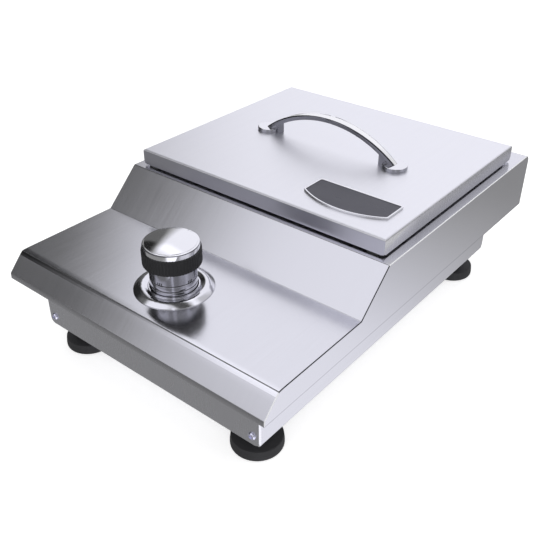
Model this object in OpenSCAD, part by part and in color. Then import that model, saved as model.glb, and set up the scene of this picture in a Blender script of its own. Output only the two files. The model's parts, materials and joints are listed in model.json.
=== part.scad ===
// Drop-in gas side burner: folded steel trim over a burner box on rubber feet, with a lift-off
// lid, a push-and-turn valve knob and a small round burner under a bar grate.

/* [Trim] */
// Width of the trim from side flange to side flange
trim_w = 330; // [310:1:380]
// Depth of the trim from front lip to rear flange
trim_d = 477; // [460:1:520]
// Thickness of the trim sheet
trim_sheet = 1.2; // [0.8:0.1:2]
// Height of the upright front lip above the flange's lower edge
lip_h = 6.2; // [3:0.1:12]
// Run of the sloped lip from the front edge to the control deck
slope_run = 17.5; // [12:0.5:20]
// Height of the control deck above the flange's lower edge
deck_rise = 25; // [20:0.5:32]
// Distance from the front edge to the foot of the riser
deck_run = 132.8; // [125:0.1:140]
// Run of the sloping riser
riser_run = 40.2; // [30:0.1:45]
// Height of the upper deck above the flange's lower edge
upper_rise = 63.25; // [58:0.25:75]
// Outer radius of the bends across the trim
bend_r = 2.4; // [1.6:0.1:4]
// Outer radius of the rear top bend
rear_bend_r = 8; // [4:0.5:12]
// Width of the return hem under the side and rear flanges
hem_w = 10; // [6:0.5:16]

/* [Burner box] */
// Outer width of the box
box_w = 282.2; // [270:0.1:288]
// Distance from the front edge of the trim to the box front
box_front = 21.5; // [19:0.5:26]
// Distance from the box rear to the rear flange
box_rear = 32.9; // [28:0.1:40]
// Depth of the box below the flange's lower edge
box_drop = 55; // [48:1:75]
// Thickness of the box sheet
box_sheet = 1; // [0.7:0.1:1.6]
// Outer radius of the lower side bends
box_bend_r = 5.5; // [3:0.5:8]
// Height of the panel screws above the box bottom
screw_rise = 9.5; // [8:0.5:14]
// Distance of the panel screws from the box side
screw_inset = 7.7; // [6.5:0.1:9]
// Length of a cooling slot
vent_len = 26; // [16:1:30]
// Width of a cooling slot
vent_w = 5; // [3:0.5:7]
// Cooling slots in a row
vent_count = 5; // [3:1:6]
// Distance between neighbouring slots in a row
vent_pitch = 38; // [34:1:42]

/* [Feet] */
// Radius of a rubber foot
foot_r = 25; // [20:0.5:27]
// Top radius of the foot's disc
foot_top_r = 24.25; // [18:0.25:26]
// Thickness of the foot's disc
foot_disc_h = 11.3; // [9:0.1:14]
// Height of the whole foot with its neck
foot_h = 30; // [26:0.5:45]
// Radius of the foot's neck
foot_neck_r = 12.5; // [10:0.5:14]
// Radius of the foot's lower edge
foot_edge_r = 2.5; // [1:0.25:4]
// Distance from the box side to the centre of a foot
foot_side = 24.7; // [18:0.1:40]
// Distance from the box front to the centres of the front feet
foot_front = 27.1; // [20:0.1:40]
// Distance from the box rear to the centres of the rear feet
foot_rear = 25.8; // [20:0.1:40]
// Radius of the foot screw
foot_screw_r = 3; // [2.5:0.25:4]

/* [Lid] */
// Width of the lid
lid_w = 309.5; // [295:0.5:310]
// Depth of the lid
lid_d = 265.7; // [255:0.1:268]
// Height of the lid's skirt with its top
lid_h = 16.8; // [16:0.1:30]
// Gap between the lid's skirt and the upper deck
lid_gap = 1.95; // [1.5:0.05:3]
// Distance from the rear flange to the lid
lid_rear = 31.9; // [28:0.1:38]
// Thickness of the lid sheet
lid_sheet = 1; // [0.7:0.1:1.5]
// Outer radius of the lid's top bends
lid_bend_r = 2; // [1.6:0.1:3]
// Radius of the skirt's lower corners
lid_corner_r = 3.5; // [2:0.5:5]
// Width of the return hem inside the lid
lid_hem = 6; // [4:0.5:9]

/* [Handle] */
// Distance between the handle's disc centres
handle_span = 168; // [150:1:190]
// Radius of a handle disc
handle_disc_r = 13.3; // [11:0.1:15]
// Height of a handle disc
handle_disc_h = 4; // [3:0.5:6]
// Height of the handle above its discs
handle_rise = 30.5; // [28:0.5:45]
// Width of the handle's bow
bow_w = 11; // [9:0.5:14]
// Thickness of the handle's bow
bow_t = 5.5; // [4:0.25:7]
// Width of the handle's bow at its ends
bow_end_w = 7; // [5:0.5:9]
// Length of the bow's foot beyond its disc
bow_foot = 5.5; // [3:0.5:9]
// Radius of the handle screws
handle_screw_r = 2.5; // [2:0.25:3]

/* [Nameplate] */
// Length of the bare plate
plate_w = 96; // [70:1:110]
// Depth of the plate at its ends
plate_d = 29.5; // [20:0.5:34]
// How far the plate's front edge bulges
plate_bulge = 14.5; // [6:0.5:16]
// Thickness of the plate
plate_h = 2; // [1:0.25:3]
// Width of the plate's raised rim
plate_rim = 1.6; // [1:0.1:4]
// Corner radius of the plate
plate_corner_r = 2.6; // [2:0.1:4]
// Distance from the lid's right edge to the plate
plate_side = 17.8; // [14:0.1:30]
// Distance from the lid's front edge to the plate's rear edge
plate_back = 62; // [56:0.5:80]

/* [Knob] */
// Distance from the front edge of the trim to the knob's axis
knob_front = 68.75; // [66:0.25:72]
// Radius of the knob's skirt
skirt_r = 22.25; // [20:0.25:23]
// Height of the knob's skirt
skirt_h = 27.2; // [22:0.2:30]
// Gap between the skirt and the control deck
skirt_gap = 1; // [0.5:0.25:4]
// Wall of the knob's skirt
skirt_wall = 2.2; // [1.5:0.1:3]
// Radius of the rubber grip band
grip_r = 27.6; // [25:0.1:29]
// Height of the rubber grip band
grip_h = 14.5; // [10:0.5:18]
// Depth of the grip band's ribs
grip_rib = 0.5; // [0.2:0.1:1]
// Ribs round the grip band
grip_ribs = 60; // [36:2:72]
// Radius of the knob's cap
cap_r = 26.2; // [24:0.1:27]
// Height of the knob's cap
cap_h = 7.8; // [6:0.2:10]
// Height of the cap's crown
cap_crown = 1.8; // [1:0.1:2.5]
// Width of the pointer notch in the cap's rim
notch_w = 4; // [2:0.5:6]
// Travel of the knob when it is pushed
push_travel = 3; // [2:0.25:3.5]

/* [Bezel] */
// Outer radius of the bezel
bezel_r = 38; // [35:0.5:42]
// Height of the bezel's crown
bezel_h = 4.5; // [3:0.25:7]
// Height of the bezel at its bore
bezel_lip_h = 3; // [2:0.25:5]
// Radius of the bezel's bore
bezel_bore_r = 24; // [23.5:0.25:25]
// Wall of the bezel's spigot
spigot_wall = 2.6; // [1.5:0.1:3]
// Depth of the bezel's spigot below the deck sheet
spigot_drop = 2.4; // [1.6:0.1:4]

/* [Valve] */
// Height of the gas line above the box bottom
gas_rise = 36; // [34:0.5:42]
// Width of the valve block
valve_w = 26; // [22:1:30]
// Length of the valve block
valve_d = 34; // [28:1:36]
// Height of the valve block
valve_h = 28; // [24:1:30]
// Radius of the valve's bonnet
bonnet_r = 10; // [9.5:0.25:12]
// Radius of the valve stem
stem_r = 4; // [3:0.25:5]
// Depth of the flat on the stem
stem_flat = 1.2; // [0.6:0.1:1.6]
// Sheet thickness of the valve bracket
bracket_t = 1.5; // [1:0.1:2.5]
// Distance from the knob's axis to the deck studs
stud_offset = 45; // [44:0.5:52]
// Radius of the deck studs
stud_r = 2; // [1.5:0.25:3]

/* [Gas supply] */
// Sideways distance of the supply pipe from the middle
pipe_x = 95; // [80:1:110]
// Outer radius of the supply pipe
pipe_r = 6; // [4:0.5:7]
// Wall of the supply pipe
pipe_wall = 1.2; // [0.8:0.1:2]
// Centre radius of the supply pipe's bend
pipe_bend_r = 24; // [18:1:36]
// Outer radius of the inlet's threaded end
inlet_r = 10.3; // [8:0.1:12]
// Radius of the inlet's shank through the rear panel
shank_r = 12.5; // [12:0.25:14]
// Length of the inlet's threaded end
inlet_len = 20; // [14:0.5:24]
// Bore radius of the inlet
inlet_bore_r = 7; // [5:0.25:7.5]

/* [Burner] */
// Width of the well under the lid
well_w = 256; // [230:1:262]
// Depth of the well under the lid
well_d = 214; // [196:1:220]
// Corner radius of the well
well_r = 22; // [12:1:30]
// Sheet thickness of the spill pan
pan_sheet = 0.8; // [0.6:0.1:1.2]
// Width of the spill pan's rim on the deck
pan_rim = 9; // [6:0.5:14]
// Depth of the pan's floor below the deck
pan_depth = 33; // [30:0.5:40]
// Depth of the grate's ledge below the deck
ledge_depth = 8; // [6:0.5:10]
// Width of the grate's ledge
ledge_w = 12; // [10:0.5:16]
// Radius of the burner's bowl
bowl_r = 40; // [32:1:46]
// Height of the burner's bowl above the pan floor
bowl_h = 10; // [8:0.5:12]
// Wall of the burner castings
cast_wall = 2.5; // [2:0.25:3.5]
// Bore radius of the burner's neck
neck_bore_r = 11; // [9:0.25:12]
// Height of the ported head
head_h = 11; // [9:0.5:12]
// Radial width of the ported head
head_wall = 14; // [10:0.5:16]
// Flame ports round the head
port_count = 32; // [24:2:40]
// Width of a flame port
port_w = 2; // [1:0.1:2.6]
// Depth of a flame port
port_h = 6; // [4:0.25:8]
// Thickness of the burner cap
burner_cap_h = 6; // [4.5:0.25:8]
// Depth of the cap's locating spigot
spigot_h = 3; // [2:0.25:4]
// Length of the venturi tube's bell mouth
bell_len = 16; // [12:0.5:20]
// Radius of the bell mouth
bell_r = 15; // [14:0.25:17]

/* [Grate] */
// Width of the grate's frame bar
frame_bar = 8; // [6:0.5:10]
// Height of the grate's frame bar
frame_h = 10; // [8:0.5:12]
// Width of a grate bar
bar_w = 5; // [4:0.25:7]
// Height of a grate bar
bar_h = 8; // [6:0.5:9]
// Distance between neighbouring grate bars
bar_pitch = 24.5; // [23:0.1:25]
// Number of grate bars
bar_count = 9; // [5:2:9]

/* [Igniter] */
// Distance from the burner's axis to the electrode
spark_offset = 50; // [48:0.5:56]
// Radius of the electrode's ceramic
ceramic_r = 3.5; // [2.5:0.25:4.5]
// Radius of the electrode's wire
tip_r = 1; // [0.75:0.05:1.5]
// Radius of the igniter lead
lead_r = 1.4; // [1:0.1:2]
// Length of the igniter's housing
piezo_w = 24; // [18:1:28]

/* [Clearances] */
// Radial clearance of a running fit
run_gap = 0.05; // [0.02:0.01:0.1]
// Radial clearance round a fixed screw or spigot
fix_gap = 0.1; // [0.05:0.05:0.3]
// Clearance round pieces that are laid in
loose_gap = 1; // [0.5:0.1:2]
// Overrun of a cut beyond the solid it opens
cut = 1; // [0.5:0.5:2]

/* [Hidden] */
$fn = 64;

// Places that follow from the driving sizes, with the middle of the trim at y = 0
front_y = -trim_d / 2;
rear_y = trim_d / 2;
box_z = foot_h;
flange_z = box_z + box_drop;
deck_z = flange_z + deck_rise;
upper_z = flange_z + upper_rise;
deck_under = deck_z - trim_sheet;
riser_foot_y = front_y + deck_run;
riser_top_y = riser_foot_y + riser_run;
box_y0 = front_y + box_front;
box_y1 = rear_y - box_rear;
box_floor = box_z + box_sheet;
box_inner_w = box_w - 2 * box_sheet;
lid_y1 = rear_y - lid_rear;
lid_y0 = lid_y1 - lid_d;
lid_mid_y = (lid_y0 + lid_y1) / 2;
lid_z = upper_z + lid_gap;
lid_top = lid_z + lid_h;
lid_under = lid_top - lid_sheet;
knob_y = front_y + knob_front;
gas_z = box_z + gas_rise;
well_y = lid_mid_y;
bend_steps = 5;

// Points round one corner of an outline: the corner itself, or an arc of radius r
function unit(v) = v / norm(v);
function corner(a, p, b, r) =
    r <= 0 ? [p] :
    let (u = unit(a - p), v = unit(b - p),
         half = acos(u * v) / 2,
         mid = p + unit(u + v) * r / sin(half),
         start = p + u * r / tan(half) - mid,
         end = p + v * r / tan(half) - mid,
         a0 = atan2(start[1], start[0]),
         turn = atan2(end[1], end[0]) - a0,
         sweep = turn > 180 ? turn - 360 : turn < -180 ? turn + 360 : turn)
    [for (i = [0 : bend_steps]) mid + r * [cos(a0 + sweep * i / bend_steps),
                                           sin(a0 + sweep * i / bend_steps)]];

// Closed outline with each of its corners rounded by its own radius
function rounded(points, radii) =
    let (n = len(points))
    [for (i = [0 : n - 1])
        for (q = corner(points[(i + n - 1) % n], points[i], points[(i + 1) % n], radii[i])) q];

// Counter-clockwise outline moved inwards by t
function inset(points, t) =
    let (n = len(points))
    [for (i = [0 : n - 1])
        let (d1 = unit(points[i] - points[(i + n - 1) % n]),
             d2 = unit(points[(i + 1) % n] - points[i]),
             n1 = [-d1[1], d1[0]],
             n2 = [-d2[1], d2[0]])
        points[i] + (n1 + n2) * t / (1 + n1 * n2)];

function rectangle(w, d) = [[-w / 2, -d / 2], [w / 2, -d / 2], [w / 2, d / 2], [-w / 2, d / 2]];
function rounded_rectangle(w, d, r) = rounded(rectangle(w, d), [r, r, r, r]);

// Outline in depth and height, drawn out along the width
module across(w) {
    rotate([90, 0, 90])
        translate([0, 0, -w / 2])
            linear_extrude(w)
                children();
}

// Outline in width and height, drawn out from depth y0 to y1
module along(y0, y1) {
    translate([0, y1, 0])
        rotate([90, 0, 0])
            linear_extrude(y1 - y0)
                children();
}

module tray(w, d, r, z0, z1) {
    translate([0, well_y, z0])
        linear_extrude(z1 - z0)
            polygon(rounded_rectangle(w, d, r));
}

module ring(outer, inner, h) {
    difference() {
        cylinder(r = outer, h = h);
        translate([0, 0, -cut])
            cylinder(r = inner, h = h + 2 * cut);
    }
}

module hex_nut(across_flats, h, hole) {
    difference() {
        cylinder(d = across_flats / cos(30), h = h, $fn = 6);
        translate([0, 0, -cut])
            cylinder(r = hole, h = h + 2 * cut);
    }
}

// Trim
trim_outline = [[front_y, flange_z], [rear_y, flange_z], [rear_y, upper_z],
                [riser_top_y, upper_z], [riser_foot_y, deck_z],
                [front_y + slope_run, deck_z], [front_y, flange_z + lip_h]];
trim_radii = [0, 0, rear_bend_r, bend_r, bend_r - trim_sheet, bend_r, bend_r];
trim_inner_radii = [0, 0, rear_bend_r - trim_sheet, bend_r - trim_sheet, bend_r,
                    bend_r - trim_sheet, bend_r - trim_sheet];
trim_inner = rounded(inset(trim_outline, trim_sheet), trim_inner_radii);
deck_hole_r = bezel_bore_r + spigot_wall + fix_gap;
front_hem = hem_w / 2;

module top_trim() {
    color("silver")
        difference() {
            across(trim_w)
                polygon(rounded(trim_outline, trim_radii));
            across(trim_w - 2 * trim_sheet)
                polygon(trim_inner);
            translate([-trim_w / 2 + hem_w, front_y + front_hem, flange_z - cut])
                cube([trim_w - 2 * hem_w, trim_d - front_hem - hem_w, trim_sheet + 2 * cut]);
            tray(well_w, well_d, well_r, upper_z - trim_sheet - cut, upper_z + cut);
            translate([0, knob_y, deck_under - cut])
                cylinder(r = deck_hole_r, h = trim_sheet + 2 * cut);
        }
}

// Space under the trim's sheet, down to the box bottom
module under_trim(w) {
    intersection() {
        across(w)
            polygon(concat([[front_y, 0], [rear_y, 0]],
                           [for (q = trim_inner) if (q[1] > flange_z + 2 * trim_sheet) q]));
        translate([-w / 2, box_y0, box_z])
            cube([w, box_y1 - box_y0, upper_z]);
    }
}

// Burner box: folded channel, front and rear panels
box_outline = [[-box_w / 2, box_z], [box_w / 2, box_z], [box_w / 2, upper_z],
               [-box_w / 2, upper_z]];
tab_w = 2 * screw_inset;
panel_screw_r = 2;
panel_head_r = 3.9;
panel_head_h = 2.2;
panel_slot = 0.9;
panel_shank = 8;
panel_nut_w = 7;
panel_nut_h = 3.2;
screw_x = box_w / 2 - screw_inset;
screw_z = box_z + screw_rise;
foot_x = box_w / 2 - foot_side;
foot_y0 = box_y0 + foot_front;
foot_y1 = box_y1 - foot_rear;
vent_rows = [-60, 60, 150];

module slot_row(count, pitch, len, w, h) {
    for (i = [0 : count - 1])
        translate([(i - (count - 1) / 2) * pitch, 0, 0])
            linear_extrude(h)
                polygon(rounded_rectangle(len, w, w * 0.499));
}

module at_screws() {
    for (side = [-1, 1])
        translate([side * screw_x, 0, screw_z])
            children();
}

module at_feet() {
    for (side = [-1, 1])
        for (y = [foot_y0, foot_y1])
            translate([side * foot_x, y, 0])
                children();
}

// Tab that a panel screw goes through, with its outer face at y = 0 and going back
module screw_tab() {
    translate([-tab_w / 2, 0, -tab_w / 2])
        cube([tab_w, box_sheet, tab_w]);
}

module box_shell() {
    color("lightgray")
        difference() {
            union() {
                intersection() {
                    difference() {
                        along(box_y0 + box_sheet, box_y1 - box_sheet)
                            polygon(rounded(box_outline, [box_bend_r, box_bend_r, 0, 0]));
                        along(box_y0, box_y1)
                            polygon(rounded(concat(
                                [for (i = [0, 1]) inset(box_outline, box_sheet)[i]],
                                [for (i = [2, 3])
                                    inset(box_outline, box_sheet)[i] + [0, box_drop]]),
                                [box_bend_r - box_sheet, box_bend_r - box_sheet, 0, 0]));
                    }
                    under_trim(box_w);
                }
                translate([0, box_y0 + box_sheet, 0])
                    at_screws()
                        screw_tab();
                translate([0, box_y1 - 2 * box_sheet, 0])
                    at_screws()
                        screw_tab();
            }
            translate([0, box_y0, 0])
                at_screws()
                    rotate([-90, 0, 0])
                        cylinder(r = panel_screw_r + fix_gap, h = box_y1 - box_y0);
            for (y = vent_rows)
                translate([0, y, box_z - cut])
                    slot_row(vent_count, vent_pitch, vent_len, vent_w, box_sheet + 2 * cut);
            translate([0, 0, box_z - cut])
                at_feet()
                    cylinder(r = foot_screw_r + fix_gap, h = box_sheet + 2 * cut);
        }
}

module panel_blank(y0, y1) {
    intersection() {
        along(y0, y1)
            polygon(rounded(box_outline, [box_bend_r, box_bend_r, 0, 0]));
        under_trim(box_w);
    }
}

module front_panel() {
    color("lightgray")
        difference() {
            panel_blank(box_y0, box_y0 + box_sheet);
            translate([0, box_y0 - cut, 0])
                at_screws()
                    rotate([-90, 0, 0])
                        cylinder(r = panel_screw_r + fix_gap, h = box_sheet + 2 * cut);
        }
}

rear_vent_z = flange_z + deck_rise;

module rear_panel() {
    color("lightgray")
        difference() {
            panel_blank(box_y1 - box_sheet, box_y1);
            translate([0, box_y1 - box_sheet - cut, 0])
                at_screws()
                    rotate([-90, 0, 0])
                        cylinder(r = panel_screw_r + fix_gap, h = box_sheet + 2 * cut);
            translate([pipe_x, box_y1 - box_sheet - cut, gas_z])
                rotate([-90, 0, 0])
                    cylinder(r = shank_r + fix_gap, h = box_sheet + 2 * cut);
            for (row = [-1, 1])
                translate([0, box_y1 + cut, rear_vent_z + row * vent_w * 1.5])
                    rotate([90, 0, 0])
                        slot_row(vent_count, vent_pitch, vent_len, vent_w,
                                 box_sheet + 2 * cut);
        }
}

// Heat shield between the control bay and the burner bay
shield_y = riser_foot_y + riser_run * 0.75;
shield_foot = 12;
lead_x = -40;
lead_hole_r = 2 * lead_r;

module heat_shield() {
    color("gainsboro")
        difference() {
            union() {
                translate([-box_inner_w / 2, shield_y, box_floor + box_bend_r])
                    cube([box_inner_w, box_sheet, deck_z - box_floor - box_bend_r]);
                translate([-box_inner_w / 2 + box_bend_r, shield_y, box_floor])
                    cube([box_inner_w - 2 * box_bend_r, box_sheet, deck_z - box_floor]);
                translate([-box_inner_w / 2 + box_bend_r, shield_y, box_floor])
                    cube([box_inner_w - 2 * box_bend_r, shield_foot, box_sheet]);
            }
            translate([0, shield_y - cut, gas_z])
                rotate([-90, 0, 0])
                    cylinder(r = venturi_r + fix_gap, h = box_sheet + 2 * cut);
            translate([pipe_x, shield_y - cut, gas_z])
                rotate([-90, 0, 0])
                    cylinder(r = pipe_r + fix_gap, h = box_sheet + 2 * cut);
            translate([lead_x, shield_y - cut, gas_z])
                rotate([-90, 0, 0])
                    cylinder(r = lead_hole_r, h = box_sheet + 2 * cut);
        }
}

// Pan-head screw along +Z with its head below zero and a cross recess
module pan_screw(r, head_r, head_h, shank) {
    difference() {
        union() {
            rotate_extrude()
                polygon([[0, 0], [head_r, 0], [head_r, -head_h * 0.35],
                         [head_r * 0.8, -head_h * 0.85], [head_r * 0.5, -head_h],
                         [0, -head_h]]);
            cylinder(r = r, h = shank);
        }
        for (turn = [0, 90])
            rotate([0, 0, turn])
                translate([-head_r * 0.55, -panel_slot / 2, -head_h - cut])
                    cube([head_r * 1.1, panel_slot, head_h * 0.5 + cut]);
    }
}

module panel_screws() {
    color("gainsboro") {
        translate([0, box_y0, 0])
            at_screws()
                rotate([-90, 0, 0])
                    pan_screw(panel_screw_r, panel_head_r, panel_head_h, panel_shank);
        translate([0, box_y1, 0])
            at_screws()
                rotate([90, 0, 0])
                    pan_screw(panel_screw_r, panel_head_r, panel_head_h, panel_shank);
    }
}

module panel_nuts() {
    color("gray") {
        translate([0, box_y0 + 2 * box_sheet, 0])
            at_screws()
                rotate([-90, 0, 0])
                    hex_nut(panel_nut_w, panel_nut_h, panel_screw_r + fix_gap);
        translate([0, box_y1 - 2 * box_sheet, 0])
            at_screws()
                rotate([90, 0, 0])
                    hex_nut(panel_nut_w, panel_nut_h, panel_screw_r + fix_gap);
    }
}

// Feet: rubber disc with a neck, screwed on from below
foot_recess_r = 9;
foot_recess_h = 8;
washer_t = 1.2;
foot_head_r = 5.6;
foot_head_h = 4;
foot_nut_w = 10;
foot_nut_h = 5;
foot_outline = rounded([[0, 0], [foot_r, 0], [foot_r, foot_disc_h * 0.45],
                        [foot_top_r, foot_disc_h], [foot_neck_r, foot_disc_h],
                        [foot_neck_r, foot_h], [0, foot_h]],
                       [0, foot_edge_r, foot_edge_r / 2, foot_edge_r / 3, 0, 0, 0]);

module rubber_feet() {
    color("black")
        at_feet()
            difference() {
                rotate_extrude()
                    polygon(foot_outline);
                translate([0, 0, -cut])
                    cylinder(r = foot_recess_r, h = foot_recess_h + cut);
                cylinder(r = foot_screw_r + fix_gap, h = foot_h + cut);
            }
}

module foot_washers() {
    color("silver")
        translate([0, 0, foot_recess_h - washer_t])
            at_feet()
                ring(foot_recess_r - fix_gap, foot_screw_r + fix_gap, washer_t);
}

module foot_screws() {
    color("silver")
        translate([0, 0, foot_recess_h - washer_t])
            at_feet()
                pan_screw(foot_screw_r, foot_head_r, foot_head_h,
                          box_floor + foot_nut_h + box_sheet - foot_recess_h + washer_t);
}

module foot_nuts() {
    color("gray")
        translate([0, 0, box_floor])
            at_feet()
                hex_nut(foot_nut_w, foot_nut_h, foot_screw_r + fix_gap);
}

// Spill pan with the ledge that carries the grate
pan_w = well_w - 2 * fix_gap;
pan_d = well_d - 2 * fix_gap;
ledge_z = upper_z + pan_sheet - ledge_depth;
pan_floor = upper_z - pan_depth + pan_sheet;
pan_under = pan_floor - pan_sheet;
basin_w = pan_w - 2 * pan_sheet - 2 * ledge_w;
basin_d = pan_d - 2 * pan_sheet - 2 * ledge_w;
basin_r = well_r - pan_sheet;
neck_r = neck_bore_r + cast_wall;
neck_hole_r = neck_r + loose_gap;

module spill_pan() {
    color("silver")
        difference() {
            union() {
                tray(pan_w + 2 * pan_rim, pan_d + 2 * pan_rim, well_r + pan_rim,
                     upper_z, upper_z + pan_sheet);
                tray(pan_w, pan_d, well_r, ledge_z - pan_sheet, upper_z + pan_sheet / 2);
                tray(basin_w + 2 * pan_sheet, basin_d + 2 * pan_sheet, basin_r + pan_sheet,
                     pan_under, ledge_z - pan_sheet / 2);
            }
            tray(pan_w - 2 * pan_sheet, pan_d - 2 * pan_sheet, well_r - pan_sheet,
                 ledge_z, upper_z + pan_sheet + cut);
            tray(basin_w, basin_d, basin_r, pan_floor, ledge_z + cut);
            translate([0, well_y, pan_under - cut])
                cylinder(r = neck_hole_r, h = pan_sheet + 2 * cut);
            translate([0, well_y - spark_offset, pan_under - cut])
                cylinder(r = ceramic_r + fix_gap, h = pan_sheet + 2 * cut);
        }
}

// Burner: cast bowl on its neck, ported head and cap
seat_r = neck_r + 2 * cast_wall;
bowl_top = pan_floor + bowl_h;
head_top = bowl_top + head_h;
elbow_r = neck_bore_r + cast_wall * 0.8;
socket_len = 14;
elbow_len = neck_r + socket_len;
venturi_wall = 1.2;
venturi_r = neck_bore_r + cast_wall * 0.2;
head_inner_r = bowl_r - head_wall;
outlet_len = 14;
mouth_gap = 16;
mouth_y = knob_y + valve_d / 2 + outlet_len + mouth_gap;

module burner_base() {
    color("darkgray")
        difference() {
            union() {
                translate([0, well_y, 0])
                    rotate_extrude()
                        polygon([[0, gas_z - neck_r], [neck_r, gas_z - neck_r],
                                 [neck_r, pan_floor], [seat_r, pan_floor],
                                 [seat_r, pan_floor + cast_wall],
                                 [bowl_r, pan_floor + 2 * cast_wall], [bowl_r, bowl_top],
                                 [0, bowl_top]]);
                translate([0, well_y - elbow_len, gas_z])
                    rotate([-90, 0, 0])
                        cylinder(r = elbow_r, h = elbow_len);
            }
            translate([0, well_y, 0])
                rotate_extrude()
                    polygon([[0, gas_z - neck_bore_r], [neck_bore_r, gas_z - neck_bore_r],
                             [neck_bore_r, pan_floor + cast_wall],
                             [bowl_r - cast_wall, pan_floor + 3 * cast_wall],
                             [bowl_r - cast_wall, bowl_top + cut], [0, bowl_top + cut]]);
            translate([0, well_y - elbow_len - cut, gas_z])
                rotate([-90, 0, 0])
                    cylinder(r = venturi_r + run_gap, h = socket_len + cut);
            translate([0, well_y - elbow_len, gas_z])
                rotate([-90, 0, 0])
                    cylinder(r = venturi_r - venturi_wall, h = elbow_len);
        }
}

// Venturi tube, drawn along +Y from its bell mouth to the burner's socket
venturi_end = well_y - neck_r;
shutter_len = 12;
shutter_t = 1;
shutter_play = 2;
bell_flat = shutter_len + shutter_play;

module venturi_tube() {
    color("silver")
        translate([0, mouth_y, gas_z])
            rotate([-90, 0, 0])
                rotate_extrude()
                    polygon([[bell_r - venturi_wall, 0], [bell_r, 0], [bell_r, bell_flat],
                             [venturi_r, bell_flat + bell_len],
                             [venturi_r, venturi_end - mouth_y],
                             [venturi_r - venturi_wall, venturi_end - mouth_y],
                             [venturi_r - venturi_wall, bell_flat + bell_len],
                             [bell_r - venturi_wall, bell_flat]]);
}

// Air shutter: a sleeve with two windows that turns on the mouth
module air_shutter() {
    color("lightgray")
        translate([0, mouth_y, gas_z])
            rotate([-90, 0, 0])
                difference() {
                    ring(bell_r + run_gap + shutter_t, bell_r + run_gap, shutter_len);
                    translate([-bell_r * 0.4, -bell_r * 1.2, shutter_len * 0.25])
                        cube([bell_r * 0.8, bell_r * 2.4, shutter_len * 0.5]);
                }
}

module burner_head() {
    color("darkgray")
        translate([0, well_y, bowl_top])
            difference() {
                ring(bowl_r, head_inner_r, head_h);
                for (i = [0 : port_count - 1])
                    rotate([0, 0, i * 360 / port_count])
                        translate([head_inner_r - cut, -port_w / 2, head_h - port_h])
                            cube([head_wall + 2 * cut, port_w, port_h + cut]);
            }
}

module burner_cap() {
    color("dimgray")
        translate([0, well_y, head_top])
            rotate_extrude()
                polygon([[0, -spigot_h], [head_inner_r - loose_gap / 2, -spigot_h],
                         [head_inner_r - loose_gap / 2, 0], [bowl_r - loose_gap, 0],
                         [bowl_r - loose_gap, burner_cap_h * 0.3],
                         [bowl_r * 0.9, burner_cap_h * 0.65],
                         [bowl_r * 0.72, burner_cap_h * 0.88],
                         [bowl_r * 0.45, burner_cap_h], [0, burner_cap_h]]);
}

// Grate: a frame on the pan's ledge with bars welded across it
grate_w = pan_w - 2 * pan_sheet - 2 * loose_gap;
grate_d = pan_d - 2 * pan_sheet - 2 * loose_gap;
grate_r = well_r - pan_sheet - loose_gap;
bar_z = ledge_z + frame_h;

module grate_frame() {
    color("dimgray")
        difference() {
            tray(grate_w, grate_d, grate_r, ledge_z, bar_z);
            tray(grate_w - 2 * frame_bar, grate_d - 2 * frame_bar, grate_r - frame_bar,
                 ledge_z - cut, bar_z + cut);
        }
}

bar_outline = rounded([[-grate_d / 2, 0], [grate_d / 2, 0],
                       [grate_d / 2, bar_h * 0.4], [grate_d / 2 - frame_bar, bar_h],
                       [frame_bar - grate_d / 2, bar_h], [-grate_d / 2, bar_h * 0.4]],
                      [0, 0, bar_h * 0.3, bar_h, bar_h, bar_h * 0.3]);

module grate_bars() {
    color("dimgray")
        for (i = [0 : bar_count - 1])
            translate([(i - (bar_count - 1) / 2) * bar_pitch, well_y, bar_z])
                across(bar_w)
                    polygon(bar_outline);
}

// Spark electrode beside the head
ceramic_drop = 14;
ceramic_rise = 12;
ceramic_flange = 2;
collar_r = ceramic_r + ceramic_flange;
clip_t = 1;
tip_bend_z = bowl_top + head_h * 0.8;
spark_gap = 3;
tip_foot_z = pan_under - ceramic_drop + tip_r;

module at_electrode() {
    translate([0, well_y - spark_offset, 0])
        children();
}

module electrode_ceramic() {
    color("white")
        at_electrode()
            rotate_extrude()
                polygon([[tip_r, pan_under - ceramic_drop],
                         [ceramic_r, pan_under - ceramic_drop], [ceramic_r, pan_floor],
                         [collar_r, pan_floor], [collar_r, pan_floor + ceramic_r * 0.6],
                         [ceramic_r, pan_floor + ceramic_r],
                         [ceramic_r * 0.8, pan_floor + ceramic_rise],
                         [tip_r, pan_floor + ceramic_rise]]);
}

module electrode_clip() {
    color("silver")
        translate([0, 0, pan_under - clip_t])
            at_electrode()
                ring(collar_r + clip_t, ceramic_r + run_gap, clip_t);
}

module electrode_tip() {
    color("gray")
        at_electrode() {
            translate([0, 0, tip_foot_z])
                cylinder(r = tip_r - run_gap / 2, h = tip_bend_z - tip_foot_z);
            translate([0, 0, tip_bend_z])
                sphere(r = tip_r);
            translate([0, 0, tip_bend_z])
                rotate([-90, 0, 0])
                    cylinder(r = tip_r - run_gap / 2, h = spark_offset - bowl_r - spark_gap);
        }
}

// Igniter housing on the valve's left side, and its lead to the electrode
piezo_d = valve_d * 0.7;
piezo_h = valve_h * 0.8;
piezo_x = -valve_w / 2 - piezo_w;
terminal_r = 2.5;
terminal_len = 8;
terminal_x = piezo_x + piezo_w / 2;
lead_start = [terminal_x, knob_y + piezo_d / 2 + terminal_len, gas_z];
lead_end = [0, well_y - spark_offset, pan_under - ceramic_drop];
lead_route = [lead_start, lead_start + [0, lead_r * 4, 0],
              [lead_x, lead_start[1] + lead_r * 14, gas_z],
              [lead_x, shield_y + shield_foot, gas_z],
              [lead_x / 2, shield_y + shield_foot * 4, gas_z + neck_r],
              lead_end + [0, -lead_r * 9, -lead_r * 9],
              lead_end + [0, -lead_r * 2, -lead_r * 7],
              lead_end + [0, 0, -lead_r * 4], lead_end];
lead_sides = 8;

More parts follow.
